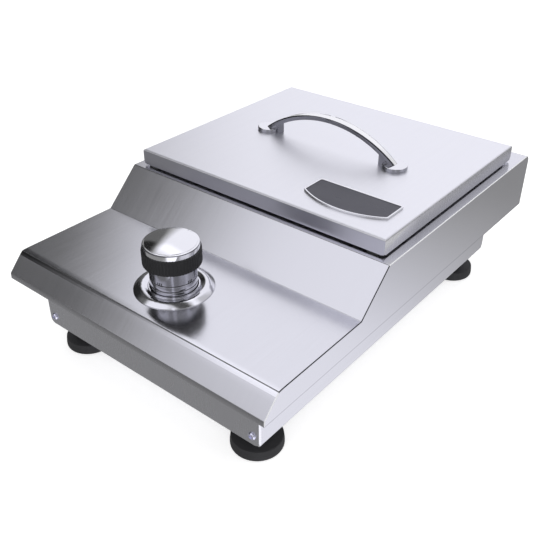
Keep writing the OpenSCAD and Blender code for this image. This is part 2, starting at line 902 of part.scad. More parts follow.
module piezo_igniter() {
    color("black")
        translate([piezo_x, knob_y - piezo_d / 2, gas_z - piezo_h / 2])
            union() {
                cube([piezo_w, piezo_d, piezo_h]);
                translate([piezo_w / 2, piezo_d, piezo_h / 2])
                    rotate([-90, 0, 0])
                        cylinder(r = terminal_r, h = terminal_len);
            }
}

// Tube swept along the lead's route, with one ring of points at each place
function along_route(i) =
    unit((i > 0 ? unit(lead_route[i] - lead_route[i - 1]) : [0, 0, 0])
         + (i < len(lead_route) - 1 ? unit(lead_route[i + 1] - lead_route[i]) : [0, 0, 0]));
lead_points = [for (i = [0 : len(lead_route) - 1])
    let (t = along_route(i), u = unit(cross(t, [1, 0, 0])), v = cross(t, u))
    for (k = [0 : lead_sides - 1])
        lead_route[i] + lead_r * (u * cos(k * 360 / lead_sides) + v * sin(k * 360 / lead_sides))];
lead_faces = concat(
    [[for (k = [0 : lead_sides - 1]) k]],
    [[for (k = [1 : lead_sides]) len(lead_points) - k]],
    [for (i = [0 : len(lead_route) - 2])
        for (k = [0 : lead_sides - 1])
            let (a = i * lead_sides + k, b = i * lead_sides + (k + 1) % lead_sides)
            each [[a, a + lead_sides, b], [b, a + lead_sides, b + lead_sides]]]);

module igniter_lead() {
    color("orangered")
        polyhedron(lead_points, lead_faces);
}

// Gas valve with its bonnet, stem and collar
block_top = gas_z + valve_h / 2;
shoulder_h = 4;
shoulder_step = 3;
shoulder_r = bonnet_r + shoulder_step;
web_z = block_top + shoulder_h;
nut_z = web_z + bracket_t;
bonnet_nut_wall = 3.5;
bonnet_nut_w = 2 * (bonnet_r + bonnet_nut_wall);
bonnet_nut_h = 4;
bonnet_drop = 10;
bonnet_top = deck_under - bonnet_drop;
collar_wall = 4;
collar_h = 5;
collar_stand = 1;
collar_z = bonnet_top - collar_h + collar_stand;
collar_bore = stem_r + collar_wall;
outlet_r = 8;
outlet_bore_r = 4;
inlet_side_len = 18;
port_wall = 3;
inlet_side_r = pipe_r + port_wall;
stem_foot = 4;
stem_z = gas_z + stem_foot;
stem_flange = 2;
stem_stop_r = stem_r + stem_flange;
stem_stop_h = 1.5;
stem_top = deck_z + skirt_gap + skirt_h * 0.7;

module valve_body() {
    color("goldenrod")
        translate([0, knob_y, 0])
            difference() {
                union() {
                    translate([-valve_w / 2, -valve_d / 2, gas_z - valve_h / 2])
                        cube([valve_w, valve_d, valve_h]);
                    translate([0, 0, block_top])
                        cylinder(r = shoulder_r, h = shoulder_h);
                    translate([0, 0, block_top])
                        cylinder(r = bonnet_r, h = bonnet_top - block_top);
                    translate([0, valve_d / 2, gas_z])
                        rotate([-90, 0, 0])
                            cylinder(r = outlet_r, h = outlet_len);
                    translate([valve_w / 2, 0, gas_z])
                        rotate([0, 90, 0])
                            cylinder(r = inlet_side_r, h = inlet_side_len);
                }
                translate([0, 0, stem_z - push_travel - cut])
                    cylinder(r = stem_r + run_gap, h = bonnet_top);
                translate([0, 0, collar_z - push_travel - cut])
                    cylinder(r = collar_bore + run_gap, h = bonnet_top);
                translate([0, valve_d / 2 + outlet_len * 0.5, gas_z])
                    rotate([-90, 0, 0])
                        cylinder(r = outlet_bore_r, h = outlet_len);
                translate([valve_w / 2 + inlet_side_len * 0.4, 0, gas_z])
                    rotate([0, 90, 0])
                        cylinder(r = pipe_r + fix_gap, h = inlet_side_len);
            }
}

// Orifice: a hexagon with a tip that reaches into the bell mouth
orifice_hex = 11;
orifice_hex_h = 6;
orifice_tip_r = 3.2;
orifice_y = knob_y + valve_d / 2 + outlet_len;
orifice_reach = 3;
orifice_tip_len = mouth_gap - orifice_hex_h + orifice_reach;
jet_r = 0.6;

module orifice() {
    color("goldenrod")
        translate([0, orifice_y, gas_z])
            rotate([-90, 0, 0])
                difference() {
                    union() {
                        translate([0, 0, -outlet_len * 0.5])
                            cylinder(r = outlet_bore_r - fix_gap, h = outlet_len);
                        cylinder(d = orifice_hex / cos(30), h = orifice_hex_h, $fn = 6);
                        translate([0, 0, orifice_hex_h])
                            cylinder(r = orifice_tip_r, h = orifice_tip_len);
                    }
                    translate([0, 0, -outlet_len])
                        cylinder(r = outlet_bore_r / 2, h = outlet_len * 2);
                    cylinder(r = jet_r, h = outlet_len * 4);
                }
}

module bonnet_nut() {
    color("silver")
        translate([0, knob_y, nut_z])
            hex_nut(bonnet_nut_w, bonnet_nut_h, bonnet_r + fix_gap);
}

// Bracket that hangs the valve from the control deck
leg_inset = 9;
leg_x = stud_offset - leg_inset;
bracket_d = 24;
flange_len = 18;

module valve_bracket() {
    color("silver")
        translate([0, knob_y, 0])
            difference() {
                union() {
                    translate([-leg_x, -bracket_d / 2, web_z])
                        cube([2 * leg_x, bracket_d, bracket_t]);
                    for (side = [0, 1])
                        mirror([side, 0, 0]) {
                            translate([leg_x - bracket_t, -bracket_d / 2, web_z])
                                cube([bracket_t, bracket_d, deck_under - web_z]);
                            translate([leg_x - bracket_t, -bracket_d / 2,
                                       deck_under - bracket_t])
                                cube([flange_len, bracket_d, bracket_t]);
                        }
                }
                translate([0, 0, web_z - cut])
                    cylinder(r = bonnet_r + fix_gap, h = bracket_t + 2 * cut);
                for (side = [-1, 1])
                    translate([side * stud_offset, 0, deck_under - bracket_t - cut])
                        cylinder(r = stud_r + fix_gap, h = bracket_t + 2 * cut);
            }
}

stud_nut_w = 7;
stud_nut_h = 3.2;
stud_spare = 2;
stud_len = bracket_t + stud_nut_h + stud_spare;

module deck_studs() {
    color("silver")
        for (side = [-1, 1])
            translate([side * stud_offset, knob_y, deck_under - stud_len])
                cylinder(r = stud_r, h = stud_len);
}

module stud_nuts() {
    color("gray")
        for (side = [-1, 1])
            translate([side * stud_offset, knob_y, deck_under - bracket_t - stud_nut_h])
                hex_nut(stud_nut_w, stud_nut_h, stud_r + fix_gap);
}

module stem_collar() {
    color("goldenrod")
        translate([0, knob_y, collar_z])
            ring(collar_bore, stem_r + run_gap, collar_h);
}

module valve_stem() {
    color("silver")
        translate([0, knob_y, 0])
            difference() {
                union() {
                    translate([0, 0, stem_z])
                        cylinder(r = stem_r, h = stem_top - stem_z);
                    translate([0, 0, collar_z + collar_h])
                        cylinder(r = stem_stop_r, h = stem_stop_h);
                }
                translate([-stem_r, stem_r - stem_flat, collar_z + collar_h + stem_stop_h])
                    cube([2 * stem_r, stem_r, stem_top]);
            }
}

// Knob: core, skirt, ribbed band and dished cap
skirt_z = deck_z + skirt_gap;
grip_z = skirt_z + skirt_h;
cap_z = grip_z + grip_h;
hub_wall = 4;
hub_r = stem_r + hub_wall;
core_r = skirt_r - skirt_wall - run_gap;
core_plate = 4;
core_rib = 2;
core_neck_r = skirt_r - run_gap;
hub_gap = 2;
hub_z = collar_z + collar_h + stem_stop_h + hub_gap;
roof_z = grip_z - core_plate;

module knob_core() {
    color("black")
        translate([0, knob_y, 0])
            difference() {
                union() {
                    translate([0, 0, hub_z])
                        cylinder(r = hub_r, h = roof_z - hub_z);
                    translate([0, 0, roof_z])
                        cylinder(r = core_r, h = core_plate);
                    translate([0, 0, grip_z])
                        cylinder(r = core_neck_r, h = grip_h);
                    for (turn = [0, 90])
                        rotate([0, 0, turn])
                            translate([-core_r * 0.97, -core_rib / 2,
                                       skirt_z + skirt_h * 0.3])
                                cube([2 * core_r * 0.97, core_rib,
                                      roof_z - skirt_z - skirt_h * 0.3]);
                }
                difference() {
                    translate([0, 0, hub_z - cut])
                        cylinder(r = stem_r + run_gap, h = stem_top - hub_z + 2 * cut);
                    translate([-hub_r, stem_r - stem_flat + run_gap, hub_z - 2 * cut])
                        cube([2 * hub_r, hub_r, stem_top]);
                }
            }
}

groove_w = skirt_wall * 0.5;
groove_shares = [0.24, 0.46];

module knob_skirt() {
    color("gainsboro")
        translate([0, knob_y, skirt_z])
            rotate_extrude()
                polygon(concat(
                    [[skirt_r - skirt_wall, 0], [skirt_r - skirt_wall / 4, 0],
                     [skirt_r, skirt_wall / 4]],
                    [for (share = groove_shares)
                        for (step = [-1, 0, 1])
                            [skirt_r - (1 - abs(step)) * groove_w / 2,
                             skirt_h * share + step * groove_w / 2]],
                    [[skirt_r, skirt_h], [skirt_r - skirt_wall, skirt_h]]));
}

// Ribbed ring: four points to each rib
grip_points = [for (i = [0 : grip_ribs * 4 - 1])
    let (turn = i * 90 / grip_ribs, r = grip_r - grip_rib * (1 - cos(i * 90)) / 2)
    r * [cos(turn), sin(turn)]];

module knob_grip() {
    color("black")
        translate([0, knob_y, grip_z])
            difference() {
                linear_extrude(grip_h)
                    polygon(grip_points);
                translate([0, 0, -cut])
                    cylinder(r = core_neck_r + run_gap, h = grip_h + 2 * cut);
            }
}

cap_edge = 1.2;
crown_steps = 8;
crown_step = 0.4;
crown_r = cap_r - cap_edge * 1.8;
rim_z = cap_h - cap_crown;

module knob_cap() {
    color("gainsboro")
        translate([0, knob_y, cap_z])
            difference() {
                rotate_extrude()
                    polygon(concat(
                        [[0, 0], [cap_r, 0], [cap_r, rim_z - cap_edge],
                         [cap_r - cap_edge * 0.3, rim_z - cap_edge * 0.3],
                         [cap_r - cap_edge, rim_z], [crown_r, rim_z]],
                        [for (i = [0 : crown_steps])
                            let (share = 1 - i / crown_steps)
                            [crown_r * share,
                             cap_h - (cap_crown - crown_step) * share * share]]));
                translate([-notch_w / 2, crown_r - cap_edge, rim_z - crown_step])
                    cube([notch_w, cap_edge * 4, 2 * cap_crown]);
            }
}

// Bezel in the control deck, held from below by a push-on ring
retainer_w = 4.5;
retainer_t = 1;
bezel_edge = 0.6;

module bezel() {
    color("gainsboro")
        translate([0, knob_y, deck_z])
            rotate_extrude()
                polygon([[bezel_bore_r, -trim_sheet - spigot_drop],
                         [bezel_bore_r + spigot_wall, -trim_sheet - spigot_drop],
                         [bezel_bore_r + spigot_wall, 0], [bezel_r, 0],
                         [bezel_r, bezel_edge],
                         [bezel_r * 0.93, bezel_h * 0.55],
                         [bezel_r * 0.86, bezel_h * 0.9],
                         [bezel_r * 0.79, bezel_h],
                         [bezel_r * 0.73, bezel_h * 0.93],
                         [(bezel_bore_r + bezel_r * 0.73) / 2, bezel_lip_h * 1.08],
                         [bezel_bore_r + bezel_edge, bezel_lip_h],
                         [bezel_bore_r, bezel_lip_h - bezel_edge]]);
}

module bezel_retainer() {
    color("silver")
        translate([0, knob_y, deck_under - retainer_t])
            ring(bezel_bore_r + spigot_wall + retainer_w,
                 bezel_bore_r + spigot_wall + run_gap, retainer_t);
}

// Supply pipe from the inlet at the rear to the valve's side
fitting_hex = 30;
fitting_hex_h = 6;
locknut_h = 4;
inlet_inner_len = 16;
pipe_end_y = box_y1 - box_sheet - fitting_hex_h - inlet_inner_len * 0.5;
valve_port_x = valve_w / 2 + inlet_side_len * 0.4;

module gas_pipe() {
    color("goldenrod")
        translate([0, 0, gas_z]) {
            difference() {
                union() {
                    translate([pipe_x, knob_y + pipe_bend_r, 0])
                        rotate([-90, 0, 0])
                            cylinder(r = pipe_r, h = pipe_end_y - knob_y - pipe_bend_r);
                    translate([pipe_x - pipe_bend_r, knob_y + pipe_bend_r, 0])
                        rotate([0, 0, -90])
                            rotate_extrude(angle = 90)
                                translate([pipe_bend_r, 0])
                                    circle(r = pipe_r);
                    translate([valve_port_x, knob_y, 0])
                        rotate([0, 90, 0])
                            cylinder(r = pipe_r, h = pipe_x - pipe_bend_r - valve_port_x);
                }
                translate([pipe_x, pipe_end_y - pipe_bend_r, 0])
                    rotate([-90, 0, 0])
                        cylinder(r = pipe_r - pipe_wall, h = pipe_bend_r + cut);
            }
        }
}

module gas_inlet() {
    color("goldenrod")
        translate([pipe_x, box_y1, gas_z])
            difference() {
                union() {
                    translate([0, locknut_h, 0])
                        rotate([90, 0, 0])
                            cylinder(r = shank_r, h = locknut_h + box_sheet + fitting_hex_h);
                    translate([0, -box_sheet, 0])
                        rotate([90, 0, 0])
                            cylinder(d = fitting_hex / cos(30), h = fitting_hex_h, $fn = 6);
                    translate([0, -box_sheet - fitting_hex_h, 0])
                        rotate([90, 0, 0])
                            cylinder(r = inlet_side_r, h = inlet_inner_len);
                    rotate([-90, 0, 0])
                        cylinder(r = inlet_r, h = locknut_h + inlet_len);
                }
                translate([0, locknut_h + inlet_len + cut, 0])
                    rotate([90, 0, 0])
                        cylinder(r = inlet_bore_r, h = inlet_len + cut);
                translate([0, -box_sheet - fitting_hex_h - inlet_inner_len * 0.5, 0])
                    rotate([90, 0, 0])
                        cylinder(r = pipe_r + fix_gap, h = inlet_inner_len);
            }
}

module inlet_locknut() {
    color("goldenrod")
        translate([pipe_x, box_y1, gas_z])
            rotate([-90, 0, 0])
                hex_nut(fitting_hex, locknut_h, shank_r + run_gap);
}

// Lid: folded sheet with a return hem, standing on small pads
lid_side_outline = [[lid_y0, lid_z], [lid_y1, lid_z], [lid_y1, lid_top], [lid_y0, lid_top]];
lid_front_outline = [[-lid_w / 2, lid_z], [lid_w / 2, lid_z], [lid_w / 2, lid_top],
                     [-lid_w / 2, lid_top]];
lid_radii = [0, 0, lid_bend_r, lid_bend_r];
lid_inner_radii = [0, 0, lid_bend_r - lid_sheet, lid_bend_r - lid_sheet];
pad_w = 12;
pad_d = lid_hem - lid_sheet;

// Corner of an outline outside its rounding
module spandrel(r) {
    polygon(concat([[0, 0]], [for (i = [0 : bend_steps])
        r * [1 - sin(i * 90 / bend_steps), 1 - cos(i * 90 / bend_steps)]]));
}

module lid_shell() {
    color("whitesmoke")
        difference() {
            intersection() {
                across(lid_w)
                    polygon(rounded(lid_side_outline, lid_radii));
                along(lid_y0, lid_y1)
                    polygon(rounded(lid_front_outline, lid_radii));
            }
            intersection() {
                across(lid_w - 2 * lid_sheet)
                    polygon(rounded(inset(lid_side_outline, lid_sheet), lid_inner_radii));
                along(lid_y0 + lid_sheet, lid_y1 - lid_sheet)
                    polygon(rounded(inset(lid_front_outline, lid_sheet), lid_inner_radii));
            }
            translate([0, lid_mid_y, lid_z - cut])
                linear_extrude(lid_sheet + 2 * cut)
                    square([lid_w - 2 * lid_sheet - 2 * lid_hem,
                            lid_d - 2 * lid_sheet - 2 * lid_hem], center = true);
            for (side = [0, 1])
                mirror([side, 0, 0]) {
                    for (y = [lid_y0 + lid_sheet + run_gap, lid_y1 + cut])
                        translate([-lid_w / 2, y, lid_z])
                            rotate([90, 0, 0])
                                linear_extrude(lid_sheet + run_gap + cut)
                                    spandrel(lid_corner_r);
                    for (rear = [0, 1])
                        translate([-lid_w / 2 + lid_sheet + run_gap, lid_mid_y, lid_z])
                            mirror([0, rear, 0])
                                translate([0, -lid_d / 2, 0])
                                    rotate([0, -90, 0])
                                        linear_extrude(lid_sheet + run_gap + cut)
                                            spandrel(lid_corner_r);
                }
            at_handle_ends(lid_under - cut)
                cylinder(r = handle_screw_r + fix_gap, h = lid_sheet + 2 * cut);
        }
}

module lid_pads() {
    color("dimgray")
        for (side = [-1, 1])
            for (end = [-1, 1])
                translate([side * (lid_w / 2 - lid_sheet - lid_hem - pad_w / 2),
                           lid_mid_y + end * (lid_d / 2 - lid_sheet - lid_hem / 2),
                           upper_z + lid_gap / 2])
                    cube([pad_w, pad_d, lid_gap], center = true);
}

// Handle: a curved bow on two round discs
disc_top = lid_top + handle_disc_h;
bow_over = 1;
bow_half = handle_span / 2 + bow_over;
bow_r = (bow_half * bow_half + handle_rise * handle_rise) / (2 * handle_rise);
bow_mid_z = disc_top + handle_rise - bow_r;
disc_edge = 0.8;
disc_bore = handle_disc_h * 0.8;

module at_handle_ends(z) {
    for (side = [-1, 1])
        translate([side * handle_span / 2, lid_mid_y, z])
            children();
}

module handle_discs() {
    color("gainsboro")
        at_handle_ends(lid_top)
            difference() {
                rotate_extrude()
                    polygon([[0, 0], [handle_disc_r, 0],
                             [handle_disc_r, handle_disc_h - disc_edge],
                             [handle_disc_r - disc_edge * 0.3,
                              handle_disc_h - disc_edge * 0.3],
                             [handle_disc_r - disc_edge, handle_disc_h],
                             [0, handle_disc_h]]);
                translate([0, 0, -cut])
                    cylinder(r = handle_screw_r + run_gap, h = disc_bore + cut);
            }
}

// The bow is an arc, cut to its tapered plan, with a foot down to the lid beside each disc
bow_steps = 8;
bow_under_share = 0.6;
bow_plan = [for (side = [1, -1])
    for (i = [-bow_steps : bow_steps])
        side * [bow_half * i / bow_steps,
                bow_end_w / 2 + (bow_w - bow_end_w) / 2 * cos(90 * i / bow_steps)]];
bow_foot_x = [handle_span / 2 - handle_disc_r - bow_foot,
              handle_span / 2 - handle_disc_r * 0.3];

function bow_z(x) = bow_mid_z + sqrt(pow(bow_r - bow_t / 2, 2) - x * x);

module bow_arc() {
    rotate([90, 0, 0])
        rotate_extrude($fn = 128)
            polygon([[bow_r - bow_t, -bow_w * bow_under_share / 2], [bow_r, -bow_w / 2],
                     [bow_r, bow_w / 2], [bow_r - bow_t, bow_w * bow_under_share / 2]]);
}

module handle_bow() {
    color("gainsboro")
        difference() {
            intersection() {
                union() {
                    translate([0, lid_mid_y, bow_mid_z])
                        bow_arc();
                    translate([0, lid_mid_y, 0])
                        along(-bow_end_w * 0.4, bow_end_w * 0.4)
                            for (side = [-1, 1])
                                scale([side, 1])
                                    polygon([for (x = bow_foot_x) each [[x, lid_top], [x, bow_z(x)]]],
                                            [[0, 1, 3, 2]]);
                }
                translate([0, lid_mid_y, lid_top])
                    linear_extrude(2 * handle_rise)
                        polygon(bow_plan);
            }
            at_handle_ends(lid_top - cut)
                cylinder(r = handle_disc_r + run_gap, h = handle_disc_h + cut);
        }
}

handle_washer_r = 6.5;
handle_head_r = 4.4;
handle_head_h = 2.6;

module handle_washers() {
    color("silver")
        at_handle_ends(lid_under - washer_t)
            ring(handle_washer_r, handle_screw_r + fix_gap, washer_t);
}

module handle_screws() {
    color("silver")
        at_handle_ends(lid_under - washer_t)
            pan_screw(handle_screw_r, handle_head_r, handle_head_h,
                      washer_t + lid_sheet + disc_bore - fix_gap);
}

// Bare plate with a bulging front edge and a raised rim
plate_x = lid_w / 2 - plate_side - plate_w / 2;
plate_y = lid_y0 + plate_back;
plate_arc_r = (plate_w * plate_w / 4 + plate_bulge * plate_bulge) / (2 * plate_bulge);
plate_arc_half = asin(plate_w / 2 / plate_arc_r);
plate_steps = 16;
plate_recess = plate_h * 0.4;

function plate_outline(t) =
    let (half = plate_w / 2 - t, r = plate_arc_r - t,
         y_mid = -plate_d - plate_bulge + plate_arc_r, turn = asin(half / r))
    rounded(concat([[half, -t], [-half, -t]],
                   [for (i = [0 : plate_steps])
                       let (a = -turn + 2 * turn * i / plate_steps)
                       [r * sin(a), y_mid - r * cos(a)]]),
            [for (i = [0 : plate_steps + 2])
                i < 3 || i == plate_steps + 2 ? plate_corner_r - t / 2 : 0]);

module nameplate() {
    color("slategray")
        translate([plate_x, plate_y, lid_top])
            difference() {
                linear_extrude(plate_h)
                    polygon(plate_outline(0));
                translate([0, 0, plate_h - plate_recess])
                    linear_extrude(plate_h)
                        polygon(plate_outline(plate_rim));
            }
}

top_trim();
box_shell();
front_panel();
rear_panel();
heat_shield();
panel_screws();
panel_nuts();
rubber_feet();
foot_washers();
foot_screws();
foot_nuts();
spill_pan();
burner_base();
venturi_tube();
air_shutter();
burner_head();
burner_cap();
grate_frame();
grate_bars();
electrode_ceramic();
electrode_clip();
electrode_tip();
igniter_lead();
piezo_igniter();
orifice();
valve_body();
bonnet_nut();
valve_bracket();
deck_studs();
stud_nuts();
stem_collar();
valve_stem();
knob_core();
knob_skirt();
knob_grip();
knob_cap();
bezel();
bezel_retainer();
gas_pipe();
gas_inlet();
inlet_locknut();
lid_shell();
lid_pads();
handle_discs();
handle_bow();
handle_screws();
handle_washers();
nameplate();
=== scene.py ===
import json
import math

import bmesh
import bpy
from mathutils import Matrix, Vector


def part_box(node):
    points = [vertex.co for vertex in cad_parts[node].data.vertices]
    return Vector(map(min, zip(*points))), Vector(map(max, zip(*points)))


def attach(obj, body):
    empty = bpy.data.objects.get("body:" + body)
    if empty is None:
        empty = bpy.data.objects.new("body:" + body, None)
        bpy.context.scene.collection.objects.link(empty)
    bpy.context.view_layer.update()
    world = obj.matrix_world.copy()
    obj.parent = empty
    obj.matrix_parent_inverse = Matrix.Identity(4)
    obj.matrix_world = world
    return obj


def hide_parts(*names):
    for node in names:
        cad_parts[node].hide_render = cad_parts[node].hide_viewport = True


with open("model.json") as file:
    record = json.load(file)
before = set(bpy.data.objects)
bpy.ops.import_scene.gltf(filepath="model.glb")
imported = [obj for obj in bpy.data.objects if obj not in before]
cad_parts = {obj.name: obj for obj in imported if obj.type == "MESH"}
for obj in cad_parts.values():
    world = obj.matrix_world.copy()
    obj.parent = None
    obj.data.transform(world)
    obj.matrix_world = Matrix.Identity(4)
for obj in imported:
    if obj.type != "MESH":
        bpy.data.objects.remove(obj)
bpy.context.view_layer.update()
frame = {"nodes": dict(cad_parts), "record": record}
nodes = frame["nodes"]
bodyOf = {n: b for b, group in frame["record"]["behaviour"]["bodies"].items() for n in group}
slotOf = {s["node"]: s["material_slot"] for s in frame["record"]["subparts"]}
mm = 0.001
deg = math.pi / 180
# Places closer than touch count as the same, vertices closer than weldGap are merged, and
# cutGap is how near to a cut a vertex counts as on it
touch = 0.01 * mm
weldGap = 0.002 * mm
cutGap = 0.001 * mm
sharpAngle = 32 * deg  # edges past this angle are broken, and stay sharp in the shading
# How much of a face's normal lies along an axis
slight, leaning, squareOn, fullOn = 0.15, 0.3, 0.9, 0.98

# Node groups that several finishes share


def newGroup(name, inputs, outputs):
    tree = bpy.data.node_groups.new(name, "ShaderNodeTree")
    for label, kind, value in inputs:
        socket = tree.interface.new_socket(label, in_out="INPUT", socket_type=kind)
        if value is not None:
            socket.default_value = value
    for label, kind in outputs:
        tree.interface.new_socket(label, in_out="OUTPUT", socket_type=kind)
    entry = tree.nodes.new("NodeGroupInput")
    leave = tree.nodes.new("NodeGroupOutput")
    return tree, entry, leave


def link(tree, a, b):
    tree.links.new(a, b)


def noise(tree, vector, scale, detail=2.0, rough=0.5):
    n = tree.nodes.new("ShaderNodeTexNoise")
    n.inputs["Scale"].default_value = scale
    n.inputs["Detail"].default_value = detail
    n.inputs["Roughness"].default_value = rough
    link(tree, vector, n.inputs["Vector"])
    return n.outputs["Fac"]


def maths(tree, kind, a, b=None):
    n = tree.nodes.new("ShaderNodeMath")
    n.operation = kind
    for i, v in enumerate([a, b]):
        if v is None:
            continue
        if isinstance(v, (int, float)):
            n.inputs[i].default_value = v
        else:
            link(tree, v, n.inputs[i])
    return n.outputs[0]


def remap(tree, value, low, high, newLow, newHigh):
    n = tree.nodes.new("ShaderNodeMapRange")
    for label, v in zip(["From Min", "From Max", "To Min", "To Max"],
                        [low, high, newLow, newHigh]):
        if isinstance(v, (int, float)):
            n.inputs[label].default_value = v
        else:
            link(tree, v, n.inputs[label])
    link(tree, value, n.inputs["Value"])
    return n.outputs["Result"]


def ramp(tree, value, fade):
    # 0 up to the fade's first number, 1 from its second on
    return remap(tree, value, *fade, 0.0, 1.0)


def blendTo(tree, amount, below, above):
    # amount 0 gives below and 1 gives above; both may be numbers or sockets
    return remap(tree, amount, 0.0, 1.0, below, above)


def times(tree, first, *others):
    for other in others:
        first = maths(tree, "MULTIPLY", first, other)
    return first


def scaled(tree, vector, factor):
    n = tree.nodes.new("ShaderNodeVectorMath")
    n.operation = "SCALE"
    link(tree, vector, n.inputs[0])
    link(tree, factor, n.inputs["Scale"])
    return n.outputs[0]


grainSet = {"wideScale": 0.23, "fineShare": 0.62, "wideShare": 0.38, "cloudScale": 14.0,
            "cloudRough": 0.6, "cloudTone": 0.4, "depth": 0.05}


def makeGrainGroup():
    # Brushed lines: noise drawn out along one direction, at two widths, and slow clouds
    tree, entry, leave = newGroup(
        "brushedGrain",
        [("Vector", "NodeSocketVector", None), ("Stretch", "NodeSocketVector", (1, 1, 1)),
         ("Roughness", "NodeSocketFloat", 0.3), ("Spread", "NodeSocketFloat", 0.08),
         ("Tint", "NodeSocketColor", (0.7, 0.7, 0.72, 1))],
        [("Color", "NodeSocketColor"), ("Roughness", "NodeSocketFloat"),
         ("Height", "NodeSocketFloat")])
    drawn = tree.nodes.new("ShaderNodeVectorMath")
    drawn.operation = "MULTIPLY"
    link(tree, entry.outputs["Vector"], drawn.inputs[0])
    link(tree, entry.outputs["Stretch"], drawn.inputs[1])
    fine = noise(tree, drawn.outputs[0], 1.0, 3.0, 0.6)
    wide = noise(tree, drawn.outputs[0], grainSet["wideScale"])
    cloud = noise(tree, entry.outputs["Vector"], grainSet["cloudScale"])
    lines = maths(tree, "ADD", times(tree, fine, grainSet["fineShare"]),
                  times(tree, wide, grainSet["wideShare"]))
    spread = times(tree, maths(tree, "SUBTRACT", lines, 0.5), entry.outputs["Spread"])
    clouded = times(tree, maths(tree, "SUBTRACT", cloud, 0.5), entry.outputs["Spread"])
    rough = maths(tree, "ADD", entry.outputs["Roughness"],
                  maths(tree, "ADD", spread, times(tree, clouded, grainSet["cloudRough"])))
    gain = maths(tree, "ADD", 1.0,
                 maths(tree, "ADD", spread, times(tree, clouded, grainSet["cloudTone"])))
    link(tree, scaled(tree, entry.outputs["Tint"], gain), leave.inputs["Color"])
    link(tree, rough, leave.inputs["Roughness"])
    link(tree, times(tree, lines, grainSet["depth"]), leave.inputs["Height"])
    return tree


wearSet = {"speckScale": 14.0, "smearShare": 0.6, "speckShare": 0.4, "tone": 1.5}


def makeWearGroup():
    # Handling marks: fine speckle and broad smears that change gloss and tone a little
    tree, entry, leave = newGroup(
        "handling",
        [("Vector", "NodeSocketVector", None), ("Scale", "NodeSocketFloat", 60.0),
         ("Color", "NodeSocketColor", (0.5, 0.5, 0.5, 1)), ("Roughness", "NodeSocketFloat", 0.4),
         ("Amount", "NodeSocketFloat", 0.1)],
        [("Color", "NodeSocketColor"), ("Roughness", "NodeSocketFloat"),
         ("Height", "NodeSocketFloat")])
    sized = scaled(tree, entry.outputs["Vector"], entry.outputs["Scale"])
    smear = noise(tree, sized, 1.0, 3.0, 0.6)
    speck = noise(tree, sized, wearSet["speckScale"], 2.0, 0.7)
    both = maths(tree, "ADD", times(tree, smear, wearSet["smearShare"]),
                 times(tree, speck, wearSet["speckShare"]))
    shift = times(tree, maths(tree, "SUBTRACT", both, 0.5), entry.outputs["Amount"])
    gain = maths(tree, "ADD", 1.0, times(tree, shift, wearSet["tone"]))
    link(tree, scaled(tree, entry.outputs["Color"], gain), leave.inputs["Color"])
    link(tree, maths(tree, "ADD", entry.outputs["Roughness"], shift), leave.inputs["Roughness"])
    link(tree, speck, leave.inputs["Height"])
    return tree


grainGroup = makeGrainGroup()
wearGroup = makeWearGroup()


def startMaterial(name, metallic):
    mat = bpy.data.materials.new(name)
    mat.use_nodes = True
    tree = mat.node_tree
    shader = tree.nodes["Principled BSDF"]
    shader.inputs["Metallic"].default_value = metallic
    coords = tree.nodes.new("ShaderNodeTexCoord")
    return mat, tree, shader, coords.outputs["Object"]


def placeGroup(tree, group, vector, values):
    n = tree.nodes.new("ShaderNodeGroup")
    n.node_tree = group
    link(tree, vector, n.inputs["Vector"])
    for label, v in values.items():
        n.inputs[label].default_value = v
    return n


def addBump(tree, shader, height, distance):
    bump = tree.nodes.new("ShaderNodeBump")
    bump.inputs["Distance"].default_value = distance
    bump.inputs["Strength"].default_value = 1.0
    link(tree, height, bump.inputs["Height"])
    link(tree, bump.outputs["Normal"], shader.inputs["Normal"])


def brushedSteel(name, tint, roughness, stretch, spread=0.08, bump=0.4 * mm):
    mat, tree, shader, vector = startMaterial(name, 1.0)
    grain = placeGroup(tree, grainGroup, vector, {
        "Stretch": stretch, "Roughness": roughness, "Spread": spread, "Tint": (*tint, 1)})
    link(tree, grain.outputs["Color"], shader.inputs["Base Color"])
    link(tree, grain.outputs["Roughness"], shader.inputs["Roughness"])
    addBump(tree, shader, grain.outputs["Height"], bump)
    return mat


def paintGrade(mat, axis, start, end, gain, endGain):
    # Paints light and shade: scales a finish's tone by gain at the start and by endGain at the
    # end
    tree = mat.node_tree
    shader = tree.nodes["Principled BSDF"]
    coords = next(n for n in tree.nodes if n.type == "TEX_COORD")
    parts = tree.nodes.new("ShaderNodeSeparateXYZ")
    link(tree, coords.outputs["Object"], parts.inputs[0])
    lift = remap(tree, parts.outputs[axis], start, end, gain, endGain)
    before = shader.inputs["Base Color"].links[0].from_socket
    link(tree, scaled(tree, before, lift), shader.inputs["Base Color"])


def handled(name, color, roughness, metallic, scale, amount, bump, specular=0.5):
    mat, tree, shader, vector = startMaterial(name, metallic)
    shader.inputs["Specular IOR Level"].default_value = specular
    wear = placeGroup(tree, wearGroup, vector, {
        "Scale": scale, "Color": (*color, 1), "Roughness": roughness, "Amount": amount})
    link(tree, wear.outputs["Color"], shader.inputs["Base Color"])
    link(tree, wear.outputs["Roughness"], shader.inputs["Roughness"])
    addBump(tree, shader, wear.outputs["Height"], bump)
    return mat


# Grain stretches have high numbers across the brushed lines and low ones along them
frontToBack = (420, 14, 22)
upright = (420, 420, 14)
